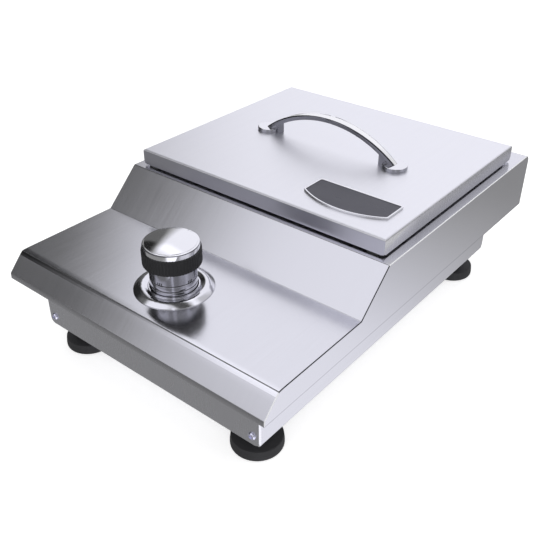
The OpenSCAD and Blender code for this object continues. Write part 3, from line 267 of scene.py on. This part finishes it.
# A finish for each material slot of the frame. After its name, brushedSteel is given a tint,
# roughness, stretch, spread and bump height, and handled a colour, roughness, metal share, scale
# and amount of wear, bump height and specular
finishes = {
    "trim_steel": brushedSteel("trimSteel", (0.74, 0.74, 0.77), 0.18, frontToBack, 0.08,
                               bump=0.3 * mm),
    "box_steel": brushedSteel("boxSteel", (0.68, 0.68, 0.71), 0.27, upright, 0.08,
                              bump=0.12 * mm),
    "inner_steel": brushedSteel("innerSteel", (0.6, 0.6, 0.61), 0.34, (900, 24, 900)),
    "lid_steel": brushedSteel("lidSteel", (0.88, 0.88, 0.905), 0.4, (900, 18, 18), 0.06,
                              bump=0.08 * mm),
    "chrome": handled("chromePlate", (0.82, 0.82, 0.84), 0.07, 1.0, 40.0, 0.05, 0.002 * mm),
    "zinc_steel": handled("zincSteel", (0.6, 0.6, 0.62), 0.32, 1.0, 160.0, 0.15, 0.01 * mm),
    "foot_rubber": handled("footRubber", (0.035, 0.035, 0.037), 0.62, 0.0, 120.0, 0.3,
                           0.04 * mm, 0.4),
    "grip_rubber": handled("gripRubber", (0.018, 0.018, 0.019), 0.55, 0.0, 160.0, 0.3,
                           0.03 * mm, 0.4),
    "pad_rubber": handled("padRubber", (0.06, 0.06, 0.06), 0.7, 0.0, 160.0, 0.2, 0.03 * mm),
    "cast_alloy": handled("castAlloy", (0.46, 0.46, 0.47), 0.48, 1.0, 420.0, 0.35, 0.12 * mm),
    "enamel": handled("enamel", (0.03, 0.03, 0.033), 0.34, 0.0, 300.0, 0.25, 0.06 * mm),
    "valve_brass": handled("valveBrass", (0.72, 0.52, 0.24), 0.3, 1.0, 120.0, 0.25,
                           0.02 * mm),
    "black_plastic": handled("blackPlastic", (0.02, 0.02, 0.022), 0.5, 0.0, 260.0, 0.2,
                             0.03 * mm),
    "white_ceramic": handled("whiteCeramic", (0.78, 0.75, 0.7), 0.2, 0.0, 90.0, 0.15,
                             0.01 * mm),
    "lead_jacket": handled("leadJacket", (0.55, 0.1, 0.03), 0.5, 0.0, 140.0, 0.2, 0.02 * mm),
    "plate_metal": brushedSteel("plateField", (0.1, 0.1, 0.112), 0.34, (30, 1500, 30), 0.5,
                                bump=0.2 * mm),
}
# Finishes for some faces of a piece; most of them are painted light and shade
extraFinishes = {
    # Painted shade: a near-black line for the trim's end seams, the lower edge of its flanges and
    # the knob skirt's grooves
    "seam": handled("seamShadow", (0.045, 0.045, 0.052), 0.6, 0.0, 200.0, 0.2, 0.01 * mm, 0.2),
    # Painted highlight: a white, non-metal finish for edges that should look lit, at the upper
    # deck's ends and the lip's ends
    "glint": handled("brightEdge", (0.93, 0.93, 0.96), 0.4, 0.0, 200.0, 0.08, 0.01 * mm, 0.3),
    # The lid's front and rear skirts: brushed across, in a darker copy of the lid's steel as
    # painted shade
    "skirt": brushedSteel("lidSkirtSteel", (0.52, 0.52, 0.57), 0.3, (18, 700, 18), 0.1),
    # A band at the foot of the trim's side flanges, darker than the trim as painted shade along
    # the step down to the box
    "hem": brushedSteel("hemSteel", (0.6, 0.6, 0.63), 0.2, frontToBack, 0.08),
    # The strips on both sides of the front bend, graded below into painted shade at the left and
    # painted highlight at the right
    "bend": brushedSteel("bendSteel", (0.74, 0.74, 0.77), 0.18, frontToBack, 0.08),
    "belowBend": brushedSteel("belowBendSteel", (0.74, 0.74, 0.77), 0.18, frontToBack, 0.08),
    # The trim's upright faces below the lip, in the box's steel, graded darker towards the lip as
    # painted shade
    "lipFoot": brushedSteel("lipFootSteel", (0.68, 0.68, 0.71), 0.27, upright, 0.08,
                            bump=0.12 * mm),
    # Painted highlight: a near-white copy of the box's steel for the box's front strips, its
    # rolled front corners and the front panel's sides
    "bright": brushedSteel("brightSteel", (0.98, 0.98, 1.0), 0.24, upright, 0.06),
    # A darker chrome: the knob skirt's own duller chrome, and painted shade on the sides of the
    # handle's discs
    "dull": handled("dullChrome", (0.44, 0.44, 0.48), 0.12, 1.0, 50.0, 0.03, 0.002 * mm),
    "satin": handled("satinChrome", (0.8, 0.8, 0.83), 0.13, 1.0, 50.0, 0.03, 0.002 * mm),
    # Painted shade: a darker copy of the chrome for the knob cap's flank and the underside of the
    # handle's bow
    "darkChrome": handled("darkChrome", (0.26, 0.26, 0.29), 0.16, 1.0, 50.0, 0.04, 0.002 * mm),
    # The lid's sides: brushed their own way, in a darker copy of the lid's steel as painted
    # shade, graded below into painted highlight and shade
    "lidEnds": brushedSteel("lidEndSteel", (0.74, 0.74, 0.78), 0.26, (700, 500, 12), 0.22),
    # Painted highlight: a near-white, half-metal finish for the bow's top; below it a near-black
    # one for its rounded upper edges as painted shade
    "bow": handled("bowTop", (0.95, 0.95, 0.97), 0.14, 0.45, 50.0, 0.04, 0.002 * mm),
    "bowEdge": handled("bowEdge", (0.07, 0.07, 0.08), 0.2, 1.0, 50.0, 0.04, 0.002 * mm),
    "capTop": handled("capTop", (0.84, 0.84, 0.86), 0.1, 1.0, 40.0, 0.05, 0.002 * mm),
    "screw": handled("screwSteel", (0.84, 0.84, 0.98), 0.14, 1.0, 90.0, 0.08, 0.005 * mm),
    "mirror": handled("plateRim", (0.86, 0.86, 0.88), 0.12, 1.0, 60.0, 0.05, 0.002 * mm),
}
lidLow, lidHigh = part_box("lid_shell")
# Painted light and shade. Each row: a finish, the axis, where its change of tone starts and ends,
# and the gain there
paintedGrades = [
    # Painted light on the lid: its sides and skirts brighten towards its front right corner as
    # painted highlight, and its sides darken towards the bottom as painted shade
    ("lidEnds", "Y", lidLow[1], lidLow[1] + 60 * mm, 1.55, 1.0),
    ("lidEnds", "Z", lidLow[2], lidHigh[2], 0.74, 1.16),
    ("skirt", "X", lidHigh[0], lidHigh[0] - 110 * mm, 1.42, 1.0),
    # Painted shade: the lip's upright foot is darkest at its top, under the lip
    ("lipFoot", "Z", 91 * mm, 84 * mm, 0.6, 0.95),
    # Painted shade and highlight: the front bend is dark at its left end and bright at its right
    # end
    ("bend", "X", -150 * mm, 60 * mm, 0.12, 1.0),
    ("bend", "X", 20 * mm, 120 * mm, 1.0, 1.3),
    ("belowBend", "X", -150 * mm, -30 * mm, 0.22, 1.0),
    ("belowBend", "X", 20 * mm, 120 * mm, 1.0, 1.3),
]
for finish, *rest in paintedGrades:
    paintGrade(extraFinishes[finish], *rest)
print("finishes made:", len(finishes) + len(extraFinishes))

# Pieces made from the frame's own solids, merged and with their sharp edges broken. Lengths in
# their dictionaries are in mm and angles in degrees


def addPiece(name, bm, slot, body, replaced=()):
    mesh = bpy.data.meshes.new(name)
    bm.to_mesh(mesh)
    bm.free()
    for p in mesh.polygons:
        p.use_smooth = True
    mesh.set_sharp_from_angle(angle=sharpAngle)
    piece = bpy.data.objects.new(name, mesh)
    bpy.context.scene.collection.objects.link(piece)
    weigh = piece.modifiers.new("weigh", "WEIGHTED_NORMAL")
    weigh.keep_sharp = True
    weigh.weight = 90
    mesh.materials.append(finishes[slot])
    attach(piece, body)
    if replaced:
        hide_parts(*replaced)
    return piece


def foldedPast(edge, angle):
    # True for an outward edge between two faces that fold by more than this angle
    return len(edge.link_faces) == 2 and edge.calc_face_angle_signed(0.0) > angle


def bevelEdges(bm, edges, width, segments, clamp):
    bmesh.ops.bevel(bm, geom=edges, offset=width, offset_type="OFFSET", affect="EDGES",
                    segments=segments, profile=0.5, material=-1, clamp_overlap=clamp)


def breakEdges(bm, width):
    sharp = [e for e in bm.edges if foldedPast(e, sharpAngle)]
    if sharp:
        bevelEdges(bm, sharp, width, 2, True)


def cutThrough(bm, axis, place):
    # Cuts the whole mesh, in place, where this axis has this value
    normal = Vector((0, 0, 0))
    normal["xyz".index(axis)] = 1
    bmesh.ops.bisect_plane(bm, geom=bm.verts[:] + bm.edges[:] + bm.faces[:], dist=cutGap,
                           plane_co=normal * place, plane_no=normal)


def middleOf(node):
    # The middle of a node's box, seen from above
    low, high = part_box(node)
    return Vector(((low[0] + high[0]) / 2, (low[1] + high[1]) / 2))


# Trim: the sheet falls away a little on both sides of its front bend, its ends meet the side
# cheeks in a seam painted dark as shade, and the upper deck's ends carry a painted highlight.
# The three lengths named "over" are heights over the flange
trimSet = {"bendY": -221, "drop": 0.5, "reach": 7.0, "cuts": (1.5, 3.2, 5.0, 7.0),
           "dropLow": 92, "flangeZ": 85, "overHem": 1.7, "overFoot": 1.0, "overSeam": 2.0,
           "seam": 0.75, "foot": 0.45, "fold": 60, "seamDeep": 0.9, "hemDeep": 0.1,
           "riserTop": -65.5, "rearStop": 200}


def shapeTrim(bm):
    line = trimSet["bendY"] * mm
    for cut in trimSet["cuts"]:
        for side in (-1, 1):
            cutThrough(bm, "y", line + side * cut * mm)
    for v in bm.verts:
        away = abs(v.co.y - line) / (trimSet["reach"] * mm)
        if away < 1 and v.co.z > trimSet["dropLow"] * mm:
            v.co.z -= trimSet["drop"] * mm * (1 - away) ** 2
    cutThrough(bm, "z", (trimSet["flangeZ"] + trimSet["overHem"]) * mm)
    half = max(v.co.x for v in bm.verts)
    footTop = (trimSet["flangeZ"] + trimSet["overFoot"]) * mm
    for width, upper in ((trimSet["seam"], True), (trimSet["foot"], False)):
        ends = [e for e in bm.edges
                if foldedPast(e, trimSet["fold"] * deg)
                and all(abs(abs(v.co.x) - half) < touch for v in e.verts)
                and abs(e.verts[0].co.x - e.verts[1].co.x) < touch
                and all(v.co.z > footTop for v in e.verts) == upper]
        bevelEdges(bm, ends, width * mm, 2, False)


# Box: its long lower bends are drawn tighter than in the plain solid, and its upright front
# corners are rolled and carry a painted highlight, like the strip beside them. The two numbers
# named "facing" say how much of a corner face's normal lies ahead, at least, and up or down, at
# most
boxSet = {"bend": 5.5, "tight": 1.2, "roll": 0.8, "cut": 2.2, "strip": 2.3, "cornerWide": 1.3,
          "cornerDeep": 0.9, "facingAhead": 0.2, "facingUp": 0.5}


def shapeBox(bm):
    bend, tight = boxSet["bend"] * mm, boxSet["tight"] * mm
    side = max(v.co.x for v in bm.verts)
    front = min(v.co.y for v in bm.verts)
    floor = min(v.co.z for v in bm.verts)
    for v in bm.verts:
        across = abs(v.co.x) - (side - bend)
        down = floor + bend - v.co.z
        onBend = abs(math.hypot(across, down) - bend) < 2 * touch
        if across > -touch and down > -touch and onBend:
            v.co.x = math.copysign(side - tight + across * tight / bend, v.co.x)
            v.co.z = floor + tight - down * tight / bend
    corners = [e for e in bm.edges
               if len(e.link_faces) == 2
               and all(abs(abs(v.co.x) - side) < touch for v in e.verts)
               and all(abs(v.co.y - front) < touch for v in e.verts)]
    cutThrough(bm, "y", front + boxSet["cut"] * mm)
    bevelEdges(bm, corners, boxSet["roll"] * mm, 3, True)


# Knob cap: how far its middle stands above the plain solid's, and from what height up. Its top
# has a finish of its own, its flank a darker chrome that is painted shade, and the flank's faces
# face up by this much at least
capSet = {"rise": 1.8, "radius": 24.0, "above": 158.3, "facingUp": 0.25}


def shapeCap(bm):
    middle = middleOf("knob_cap")
    for v in bm.verts:
        if v.co.z > capSet["above"] * mm:
            share = min(1.0, (v.co.xy - middle).length / (capSet["radius"] * mm))
            v.co.z += capSet["rise"] * mm * (1 - share ** 2)


# Handle bow: the long edges of its upper face are rounded this far and painted dark as shade,
# and the faces of these edges face aside by this much at least
bowSet = {"round": 1.1, "facingAside": 0.2}


def shapeBow(bm):
    upper = [e for e in bm.edges
             if foldedPast(e, sharpAngle)
             and max(f.normal.z for f in e.link_faces) > leaning
             and max(abs(f.normal.y) for f in e.link_faces) > squareOn]
    bevelEdges(bm, upper, bowSet["round"] * mm, 3, False)


shapers = {"top_trim": shapeTrim, "box_shell": shapeBox, "knob_cap": shapeCap,
           "handle_bow": shapeBow}

# Finishes that some nodes have on some of their faces, besides the finish of their slot; most of
# them are painted light and shade
faceFinishes = {
    "top_trim": ("seam", "glint", "lipFoot", "hem", "bend", "belowBend"),
    "box_shell": ("trim_steel", "bright"), "front_panel": ("bright",),
    "lid_shell": ("skirt", "lidEnds"), "nameplate": ("mirror",), "bezel": ("satin",),
    "knob_skirt": ("dull", "seam"), "knob_cap": ("darkChrome", "capTop"),
    "handle_bow": ("darkChrome", "bow", "bowEdge"), "handle_discs": ("dull",),
    "panel_screws": ("screw",),
}
# Where the skirt's grooves lie, inwards from its edge, how far the plate's field lies under the
# rim, and how much at most the sides of the handle's discs face up
skirtSet = {"grooveStart": 0.25, "grooveEnd": 1.5}
plateSet = {"field": 0.3}
discSet = {"facingUp": 0.6}

# Each picker names the finish of one face, or None where it is the slot's own


def pickTrim(normal, place, low, high):
    overFlange = place.z - trimSet["flangeZ"] * mm
    # The rounded upper end edges: painted shade in the seam from the front bend to the riser, a
    # painted highlight elsewhere
    if high.x - abs(place.x) < trimSet["seamDeep"] * mm and slight < abs(normal.x) < fullOn:
        if overFlange < trimSet["overSeam"] * mm or place.y > trimSet["rearStop"] * mm:
            return None
        seamShaded = trimSet["bendY"] * mm < place.y < trimSet["riserTop"] * mm
        return "seam" if seamShaded else "glint"
    # The foot of the side flanges takes the darker band of painted shade
    atSide = abs(normal.x) > fullOn and high.x - abs(place.x) < trimSet["hemDeep"] * mm
    if atSide and overFlange < trimSet["overHem"] * mm:
        return "hem"
    # Faces under the flange's lower edge take painted shade
    if abs(normal.x) > slight and normal.z < -leaning:
        return "seam"
    # Upright front faces below the lip take the painted shade under the lip
    if normal.y < -squareOn:
        return "lipFoot"
    # The strips at the front bend take the painted shade and highlight
    ahead = trimSet["bendY"] - place.y / mm
    if normal.z > leaning and 0 < ahead < trimSet["cuts"][1]:
        return "bend" if ahead < trimSet["cuts"][0] else "belowBend"
    return None


def pickBox(normal, place, low, high):
    fromSide, fromFront = high.x - abs(place.x), place.y - low.y
    side = abs(normal.x) > squareOn
    corner = fromSide < boxSet["cornerWide"] * mm and fromFront < boxSet["cornerDeep"] * mm
    rolled = normal.y < -boxSet["facingAhead"] and abs(normal.z) < boxSet["facingUp"]
    # A strip at the front of each side and the rolled front corners take the painted highlight
    if side and fromFront < boxSet["strip"] * mm or corner and rolled:
        return "bright"
    # The sides take the trim's steel: brushed along them, and lighter than the front as painted
    # light
    return "trim_steel" if side else None


def pickSkirt(normal, place, low, high):
    # The skirt's grooves are painted dark as shade; the rest takes the darker chrome
    inward = (high.x - low.x) / 2 - (place - (low + high) / 2).xy.length
    grooved = skirtSet["grooveStart"] * mm < inward < skirtSet["grooveEnd"] * mm
    return "seam" if grooved and abs(normal.z) < squareOn else "dull"


def pickLid(normal, place, low, high):
    # Front and rear faces take the darker skirt finish and the sides the end finish, both painted
    # light and shade
    if abs(normal.y) > squareOn:
        return "skirt"
    return "lidEnds" if abs(normal.x) > squareOn else None


def pickPlate(normal, place, low, high):
    field = normal.z > squareOn and high.z - place.z > plateSet["field"] * mm
    return None if field else "mirror"


def pickCap(normal, place, low, high):
    if normal.z >= squareOn:
        return "capTop"
    # The cap's flank takes the painted shade
    return "darkChrome" if normal.z > capSet["facingUp"] else None


def pickPanel(normal, place, low, high):
    # The front panel's sides take the painted highlight
    return "bright" if abs(normal.x) > leaning else None


def pickBow(normal, place, low, high):
    # The bow's rounded upper edges take the painted shade, its underside the darker chrome as
    # painted shade, and its top the painted highlight
    if normal.z > slight and abs(normal.y) > bowSet["facingAside"]:
        return "bowEdge"
    return "darkChrome" if normal.z < leaning else "bow"


def pickDisc(normal, place, low, high):
    # The sides of the handle's discs take the darker chrome as painted shade
    return "dull" if abs(normal.z) < discSet["facingUp"] else None


pickers = {"top_trim": pickTrim, "box_shell": pickBox, "lid_shell": pickLid,
           "nameplate": pickPlate, "knob_skirt": pickSkirt, "knob_cap": pickCap,
           "front_panel": pickPanel, "handle_bow": pickBow, "handle_discs": pickDisc}


def paint(node, bm):
    # Gives a node's faces their finishes, and returns those that follow the slot's own. A node
    # without a picker has its one finish everywhere
    names = faceFinishes.get(node, ())
    bm.normal_update()
    if names:
        low, high = (Vector(end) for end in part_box(node))
        for f in bm.faces:
            name = names[0]
            if node in pickers:
                name = pickers[node](f.normal, f.calc_center_median(), low, high)
            f.material_index = names.index(name) + 1 if name else 0
    return [finishes[n] if n in finishes else extraFinishes[n] for n in names]


# Nodes whose gently crowned faces keep nearly all their small steps
crowned = {"knob_cap", "bezel", "knob_skirt", "burner_cap", "handle_bow", "handle_discs"}
flatAngles = {"crowned": 0.02, "other": 0.4}  # faces that turn by less than this are merged


def dressNode(node, width):
    bm = bmesh.new()
    bm.from_mesh(nodes[node].data)
    bmesh.ops.remove_doubles(bm, verts=bm.verts, dist=weldGap)
    flat = flatAngles["crowned" if node in crowned else "other"]
    bmesh.ops.dissolve_limit(bm, angle_limit=flat * deg, verts=bm.verts, edges=bm.edges,
                             delimit={"NORMAL"})
    if node in shapers:
        shapers[node](bm)
    if width > 0:
        breakEdges(bm, width)
    extra = paint(node, bm)
    words = node.split("_")
    name = words[0] + "".join(w.title() for w in words[1:])
    piece = addPiece(name, bm, slotOf[node], bodyOf[node], (node,))
    for finish in extra:
        piece.data.materials.append(finish)


# How far the sharp edges of each node are broken
edgeBreaks = {
    "top_trim": 0.3, "box_shell": 0.1, "front_panel": 0.3, "rear_panel": 0.3,
    "heat_shield": 0.2, "panel_screws": 0.15, "rubber_feet": 0.3, "spill_pan": 0.2,
    "burner_base": 0.4, "venturi_tube": 0.2, "air_shutter": 0.2, "burner_head": 0.2,
    "burner_cap": 0.4, "grate_frame": 1.2, "grate_bars": 0.9, "valve_body": 0.5,
    "bonnet_nut": 0.4, "valve_bracket": 0.2, "gas_pipe": 0.0, "gas_inlet": 0.4,
    "inlet_locknut": 0.4, "lid_shell": 0.35, "bezel": 0.2, "handle_discs": 0.3,
    "nameplate": 0.35, "knob_skirt": 0.3, "knob_cap": 0.3, "knob_grip": 0.15,
    "knob_core": 0.3, "piezo_igniter": 0.6,
}
usualBreak = 0.12
for node in nodes:
    dressNode(node, edgeBreaks.get(node, usualBreak) * mm)
print("pieces dressed:", len(nodes))

# Knob marks: thin upright strips round the skirt, long ones and short ones, at these turns
marksSet = {"radius": 22.4, "proud": 0.25, "wide": 0.8, "top": 137.6, "long": 11.0,
            "short": 3.4, "shortTop": 126.6, "longTurns": (-98, 16, 130),
            "shortTurns": (-84, -79, -74, -8, -3, 2, 60, 65, 150, 155, 200, 205, 210)}


def addMarks():
    axis = middleOf("knob_skirt").to_3d()
    bm = bmesh.new()
    for turns, top, tall in (("longTurns", "top", "long"), ("shortTurns", "shortTop", "short")):
        for turn in marksSet[turns]:
            reach = Matrix.Rotation(turn * deg, 3, "Z") @ Vector((marksSet["radius"] * mm, 0, 0))
            upper = bm.verts.new(axis + reach + Vector((0, 0, marksSet[top] * mm)))
            lower = bm.verts.new(upper.co - Vector((0, 0, marksSet[tall] * mm)))
            edge = bm.edges.new((upper, lower))
            bmesh.ops.spin(bm, geom=[upper, lower, edge], cent=axis, axis=(0, 0, 1),
                           angle=marksSet["wide"] / marksSet["radius"], steps=2)
    bm.normal_update()
    turned = [f for f in bm.faces
              if f.normal.xy.dot(f.calc_center_median().xy - axis.xy) < 0]
    bmesh.ops.reverse_faces(bm, faces=turned)
    bmesh.ops.solidify(bm, geom=bm.faces[:], thickness=marksSet["proud"] * mm)
    bmesh.ops.recalc_face_normals(bm, faces=bm.faces)
    addPiece("skirtMarks", bm, "black_plastic", "knob")


addMarks()

# Seal in the bezel's bore, which nearly closes the gap round the knob's skirt
sealSet = {"outer": 24.05, "inner": 22.85, "top": 113.4, "thick": 0.9, "chamfer": 0.25,
           "steps": 96}


def addSeal():
    axis = middleOf("bezel").to_3d()
    inner, outer, top = (sealSet[part] for part in ("inner", "outer", "top"))
    foot, chamfer = top - sealSet["thick"], sealSet["chamfer"]
    bm = bmesh.new()
    loop = [bm.verts.new(axis + Vector((r * mm, 0, z * mm)))
            for r, z in ((inner, foot), (outer, foot), (outer, top),
                         (inner + chamfer, top), (inner, top - chamfer))]
    edges = [bm.edges.new((loop[i - 1], loop[i])) for i in range(len(loop))]
    bmesh.ops.spin(bm, geom=loop + edges, cent=axis, axis=(0, 0, 1), angle=2 * math.pi,
                   steps=sealSet["steps"], use_merge=True)
    bmesh.ops.remove_doubles(bm, verts=bm.verts, dist=weldGap)
    bmesh.ops.recalc_face_normals(bm, faces=bm.faces)
    piece = addPiece("bezelSeal", bm, "chrome", "base")
    piece.data.materials[0] = extraFinishes["satin"]


addSeal()
print("marks and seal added")

# Stage: camera, floor and light. Only the camera's place is in mm, the other lengths are in m

cameraSet = {"azimuth": 39.313, "elevation": 32.687, "lens": 50.0, "sensor": 36.0,
             "place": (427.06, -556.17, 497.2), "clips": (0.01, 60.0)}


def addCamera():
    az = cameraSet["azimuth"] * deg
    el = cameraSet["elevation"] * deg
    right = Vector((math.cos(az), math.sin(az), 0))
    back = Vector((math.sin(az) * math.cos(el), -math.cos(az) * math.cos(el), math.sin(el)))
    up = back.cross(right)
    data = bpy.data.cameras.new("camera")
    data.lens = cameraSet["lens"]
    data.sensor_width = cameraSet["sensor"]
    data.clip_start, data.clip_end = cameraSet["clips"]
    camera = bpy.data.objects.new("camera", data)
    bpy.context.scene.collection.objects.link(camera)
    turn = Matrix((right, up, back)).transposed().to_4x4()
    camera.matrix_world = Matrix.Translation(Vector(cameraSet["place"]) * mm) @ turn
    bpy.context.scene.camera = camera


floorSet = {"size": 14.0, "tone": 0.8, "roughness": 0.9, "specular": 0.1, "lift": 0.62}


def addFloor():
    bm = bmesh.new()
    bmesh.ops.create_grid(bm, x_segments=1, y_segments=1, size=floorSet["size"])
    mesh = bpy.data.meshes.new("floor")
    bm.to_mesh(mesh)
    bm.free()
    floor = bpy.data.objects.new("floor", mesh)
    bpy.context.scene.collection.objects.link(floor)
    mat = bpy.data.materials.new("paleFloor")
    mat.use_nodes = True
    tree = mat.node_tree
    shader = tree.nodes["Principled BSDF"]
    tone = floorSet["tone"]
    shader.inputs["Base Color"].default_value = (tone, tone, tone, 1)
    shader.inputs["Roughness"].default_value = floorSet["roughness"]
    shader.inputs["Specular IOR Level"].default_value = floorSet["specular"]
    shader.inputs["Emission Color"].default_value = (1, 1, 1, 1)
    # The camera sees the floor a little brighter than it is
    path = tree.nodes.new("ShaderNodeLightPath")
    link(tree, times(tree, path.outputs["Is Camera Ray"], floorSet["lift"]),
         shader.inputs["Emission Strength"])
    mesh.materials.append(mat)
    floor.visible_glossy = False


lights = {
    "key": {"place": (0.7, 0.5, 1.6), "size": 1.6, "power": 9.0},
    "front": {"place": (0.5, -1.3, 1.3), "size": 1.4, "power": 6.0},
}
target = Vector((0, 0, 0.1))


def addLight(name, spec):
    data = bpy.data.lights.new(name, "AREA")
    data.size = spec["size"]
    data.energy = spec["power"]
    lamp = bpy.data.objects.new(name, data)
    bpy.context.scene.collection.objects.link(lamp)
    place = Vector(spec["place"])
    lamp.matrix_world = (Matrix.Translation(place)
                         @ (place - target).to_track_quat("Z", "Y").to_matrix().to_4x4())
    lamp.visible_glossy = False


# The room that metal mirrors: a pale studio with a dark wall on the left, a grey floor that is
# lit on the right near the object, a dark line where wall and floor meet on the right, and a grey
# front with one bright panel. These are its tones, and the ways some of its parts face
room = {"diffuse": 0.55, "pale": 1.0, "wall": 0.14, "deep": 0.02, "lowFront": 0.66,
        "rightRear": 0.6, "front": 0.4, "panel": 1.1, "floor": 0.3, "floorLit": 1.0,
        "glow": 1.3, "band": 1.25, "beam": 0.08, "horizon": 0.2, "wallTurn": (0.22, 0.12),
        "panelTurn": (0.77, 0.64), "bandY": 0.38, "coolHue": (0.985, 0.985, 1.06, 1)}
# Where each part begins and where it is full, along X, Y or Z of the direction looked in, or
# along a value of its own
fades = {
    "wall": (0.505, 0.61), "deep": (0.74, 0.88),
    "shade": (0.58, 0.65), "shadeZ": (0.32, 0.42), "shadeFrom": (-0.2, -0.1),
    "shadeTo": (0.44, 0.39),
    "lowFrontY": (-0.45, -0.62), "lowFrontZ": (0.62, 0.46),
    "rightRearX": (0.05, 0.25), "rightRearY": (0.3, 0.5),
    "frontX": (0.0, 0.2), "frontY": (-0.1, -0.3), "panel": (0.09, 0.05),
    "floorLitX": (0.1, 0.4), "floorLitZ": (-0.43, -0.62),
    "glowX": (0.3, 0.45), "glowY": (-0.2, -0.4),
    "bandY": (0.12, 0.05), "bandZ": (0.62, 0.7),
    "beamY": (0.26, 0.14), "beamZ": (0.5, 0.65),
    "wallsZ": (-0.06, 0.04), "horizonX": (0.1, 0.3), "horizonZ": (0.12, 0.06),
    "cool": (0.25, 0.75),
}


def addWorld():
    world = bpy.data.worlds.new("studio")
    bpy.context.scene.world = world
    world.use_nodes = True
    world.cycles.sampling_method = "NONE"
    tree = world.node_tree
    shader = tree.nodes["Background"]
    path = tree.nodes.new("ShaderNodeLightPath")
    coords = tree.nodes.new("ShaderNodeTexCoord")
    parts = tree.nodes.new("ShaderNodeSeparateXYZ")
    link(tree, coords.outputs["Generated"], parts.inputs[0])
    x, y, z = parts.outputs

    def within(**places):
        # 1 where every place is where its part is full, 0 where one has not begun
        return times(tree, *(ramp(tree, place, fades[name]) for name, place in places.items()))

    # The left wall, with a darker part behind the object's left side
    rear, front = room["wallTurn"]
    turned = maths(tree, "MAXIMUM", times(tree, y, rear), times(tree, y, -front))
    left = maths(tree, "SUBTRACT", times(tree, x, -1.0), turned)
    walls = blendTo(tree, within(wall=left), room["pale"], room["wall"])
    walls = blendTo(tree, within(deep=left), walls, room["deep"])
    shade = within(shade=left, shadeZ=z, shadeFrom=y, shadeTo=y)
    walls = blendTo(tree, shade, walls, room["deep"])
    # The low front and the right rear corner are dimmed
    low = within(lowFrontY=y, lowFrontZ=z)
    walls = times(tree, walls, blendTo(tree, low, 1.0, room["lowFront"]))
    corner = within(rightRearX=x, rightRearY=y)
    walls = times(tree, walls, blendTo(tree, corner, 1.0, room["rightRear"]))
    # The grey front with its bright panel
    alongX, alongY = room["panelTurn"]
    aside = maths(tree, "ABSOLUTE",
                  maths(tree, "ADD", times(tree, x, alongX), times(tree, y, alongY)))
    panel = blendTo(tree, within(panel=aside), room["front"], room["panel"])
    walls = blendTo(tree, within(frontX=x, frontY=y), walls, panel)
    # The floor, lit on the right, with a glow near the object's front right corner
    ground = blendTo(tree, within(floorLitX=x, floorLitZ=z), room["floor"], room["floorLit"])
    ground = blendTo(tree, within(glowX=x, glowY=y), ground, room["glow"])
    # High up: a band brighter than the rest, and a dark beam
    fromBand = maths(tree, "ABSOLUTE", maths(tree, "SUBTRACT", y, room["bandY"]))
    band = within(bandY=fromBand, bandZ=z)
    walls = blendTo(tree, band, walls, times(tree, walls, room["band"]))
    beam = within(beamY=maths(tree, "ABSOLUTE", y), beamZ=z)
    walls = blendTo(tree, beam, walls, room["beam"])
    # The dark line where wall and floor meet
    base = blendTo(tree, within(wallsZ=z), ground, walls)
    rim = within(horizonX=x, horizonZ=maths(tree, "ABSOLUTE", z))
    seen = blendTo(tree, rim, base, room["horizon"])
    # Mirrors see the room; other surfaces see an even grey, and the camera sees white
    mirrored = maths(tree, "MAXIMUM", path.outputs["Is Glossy Ray"],
                     path.outputs["Is Transmission Ray"])
    light = blendTo(tree, mirrored, room["diffuse"], seen)
    strength = blendTo(tree, path.outputs["Is Camera Ray"], light, 1.0)
    # Bright parts mirror a little bluer. Sockets 6 and 7 of the node are its two colours
    hue = tree.nodes.new("ShaderNodeMix")
    hue.data_type = "RGBA"
    link(tree, times(tree, mirrored, ramp(tree, seen, fades["cool"])), hue.inputs[0])
    hue.inputs[6].default_value = (1, 1, 1, 1)
    hue.inputs[7].default_value = room["coolHue"]
    link(tree, hue.outputs[2], shader.inputs["Color"])
    link(tree, strength, shader.inputs["Strength"])


addCamera()
addFloor()
addWorld()
for name, spec in lights.items():
    addLight(name, spec)
bpy.context.scene.view_settings.view_transform = "Standard"
print("stage made")
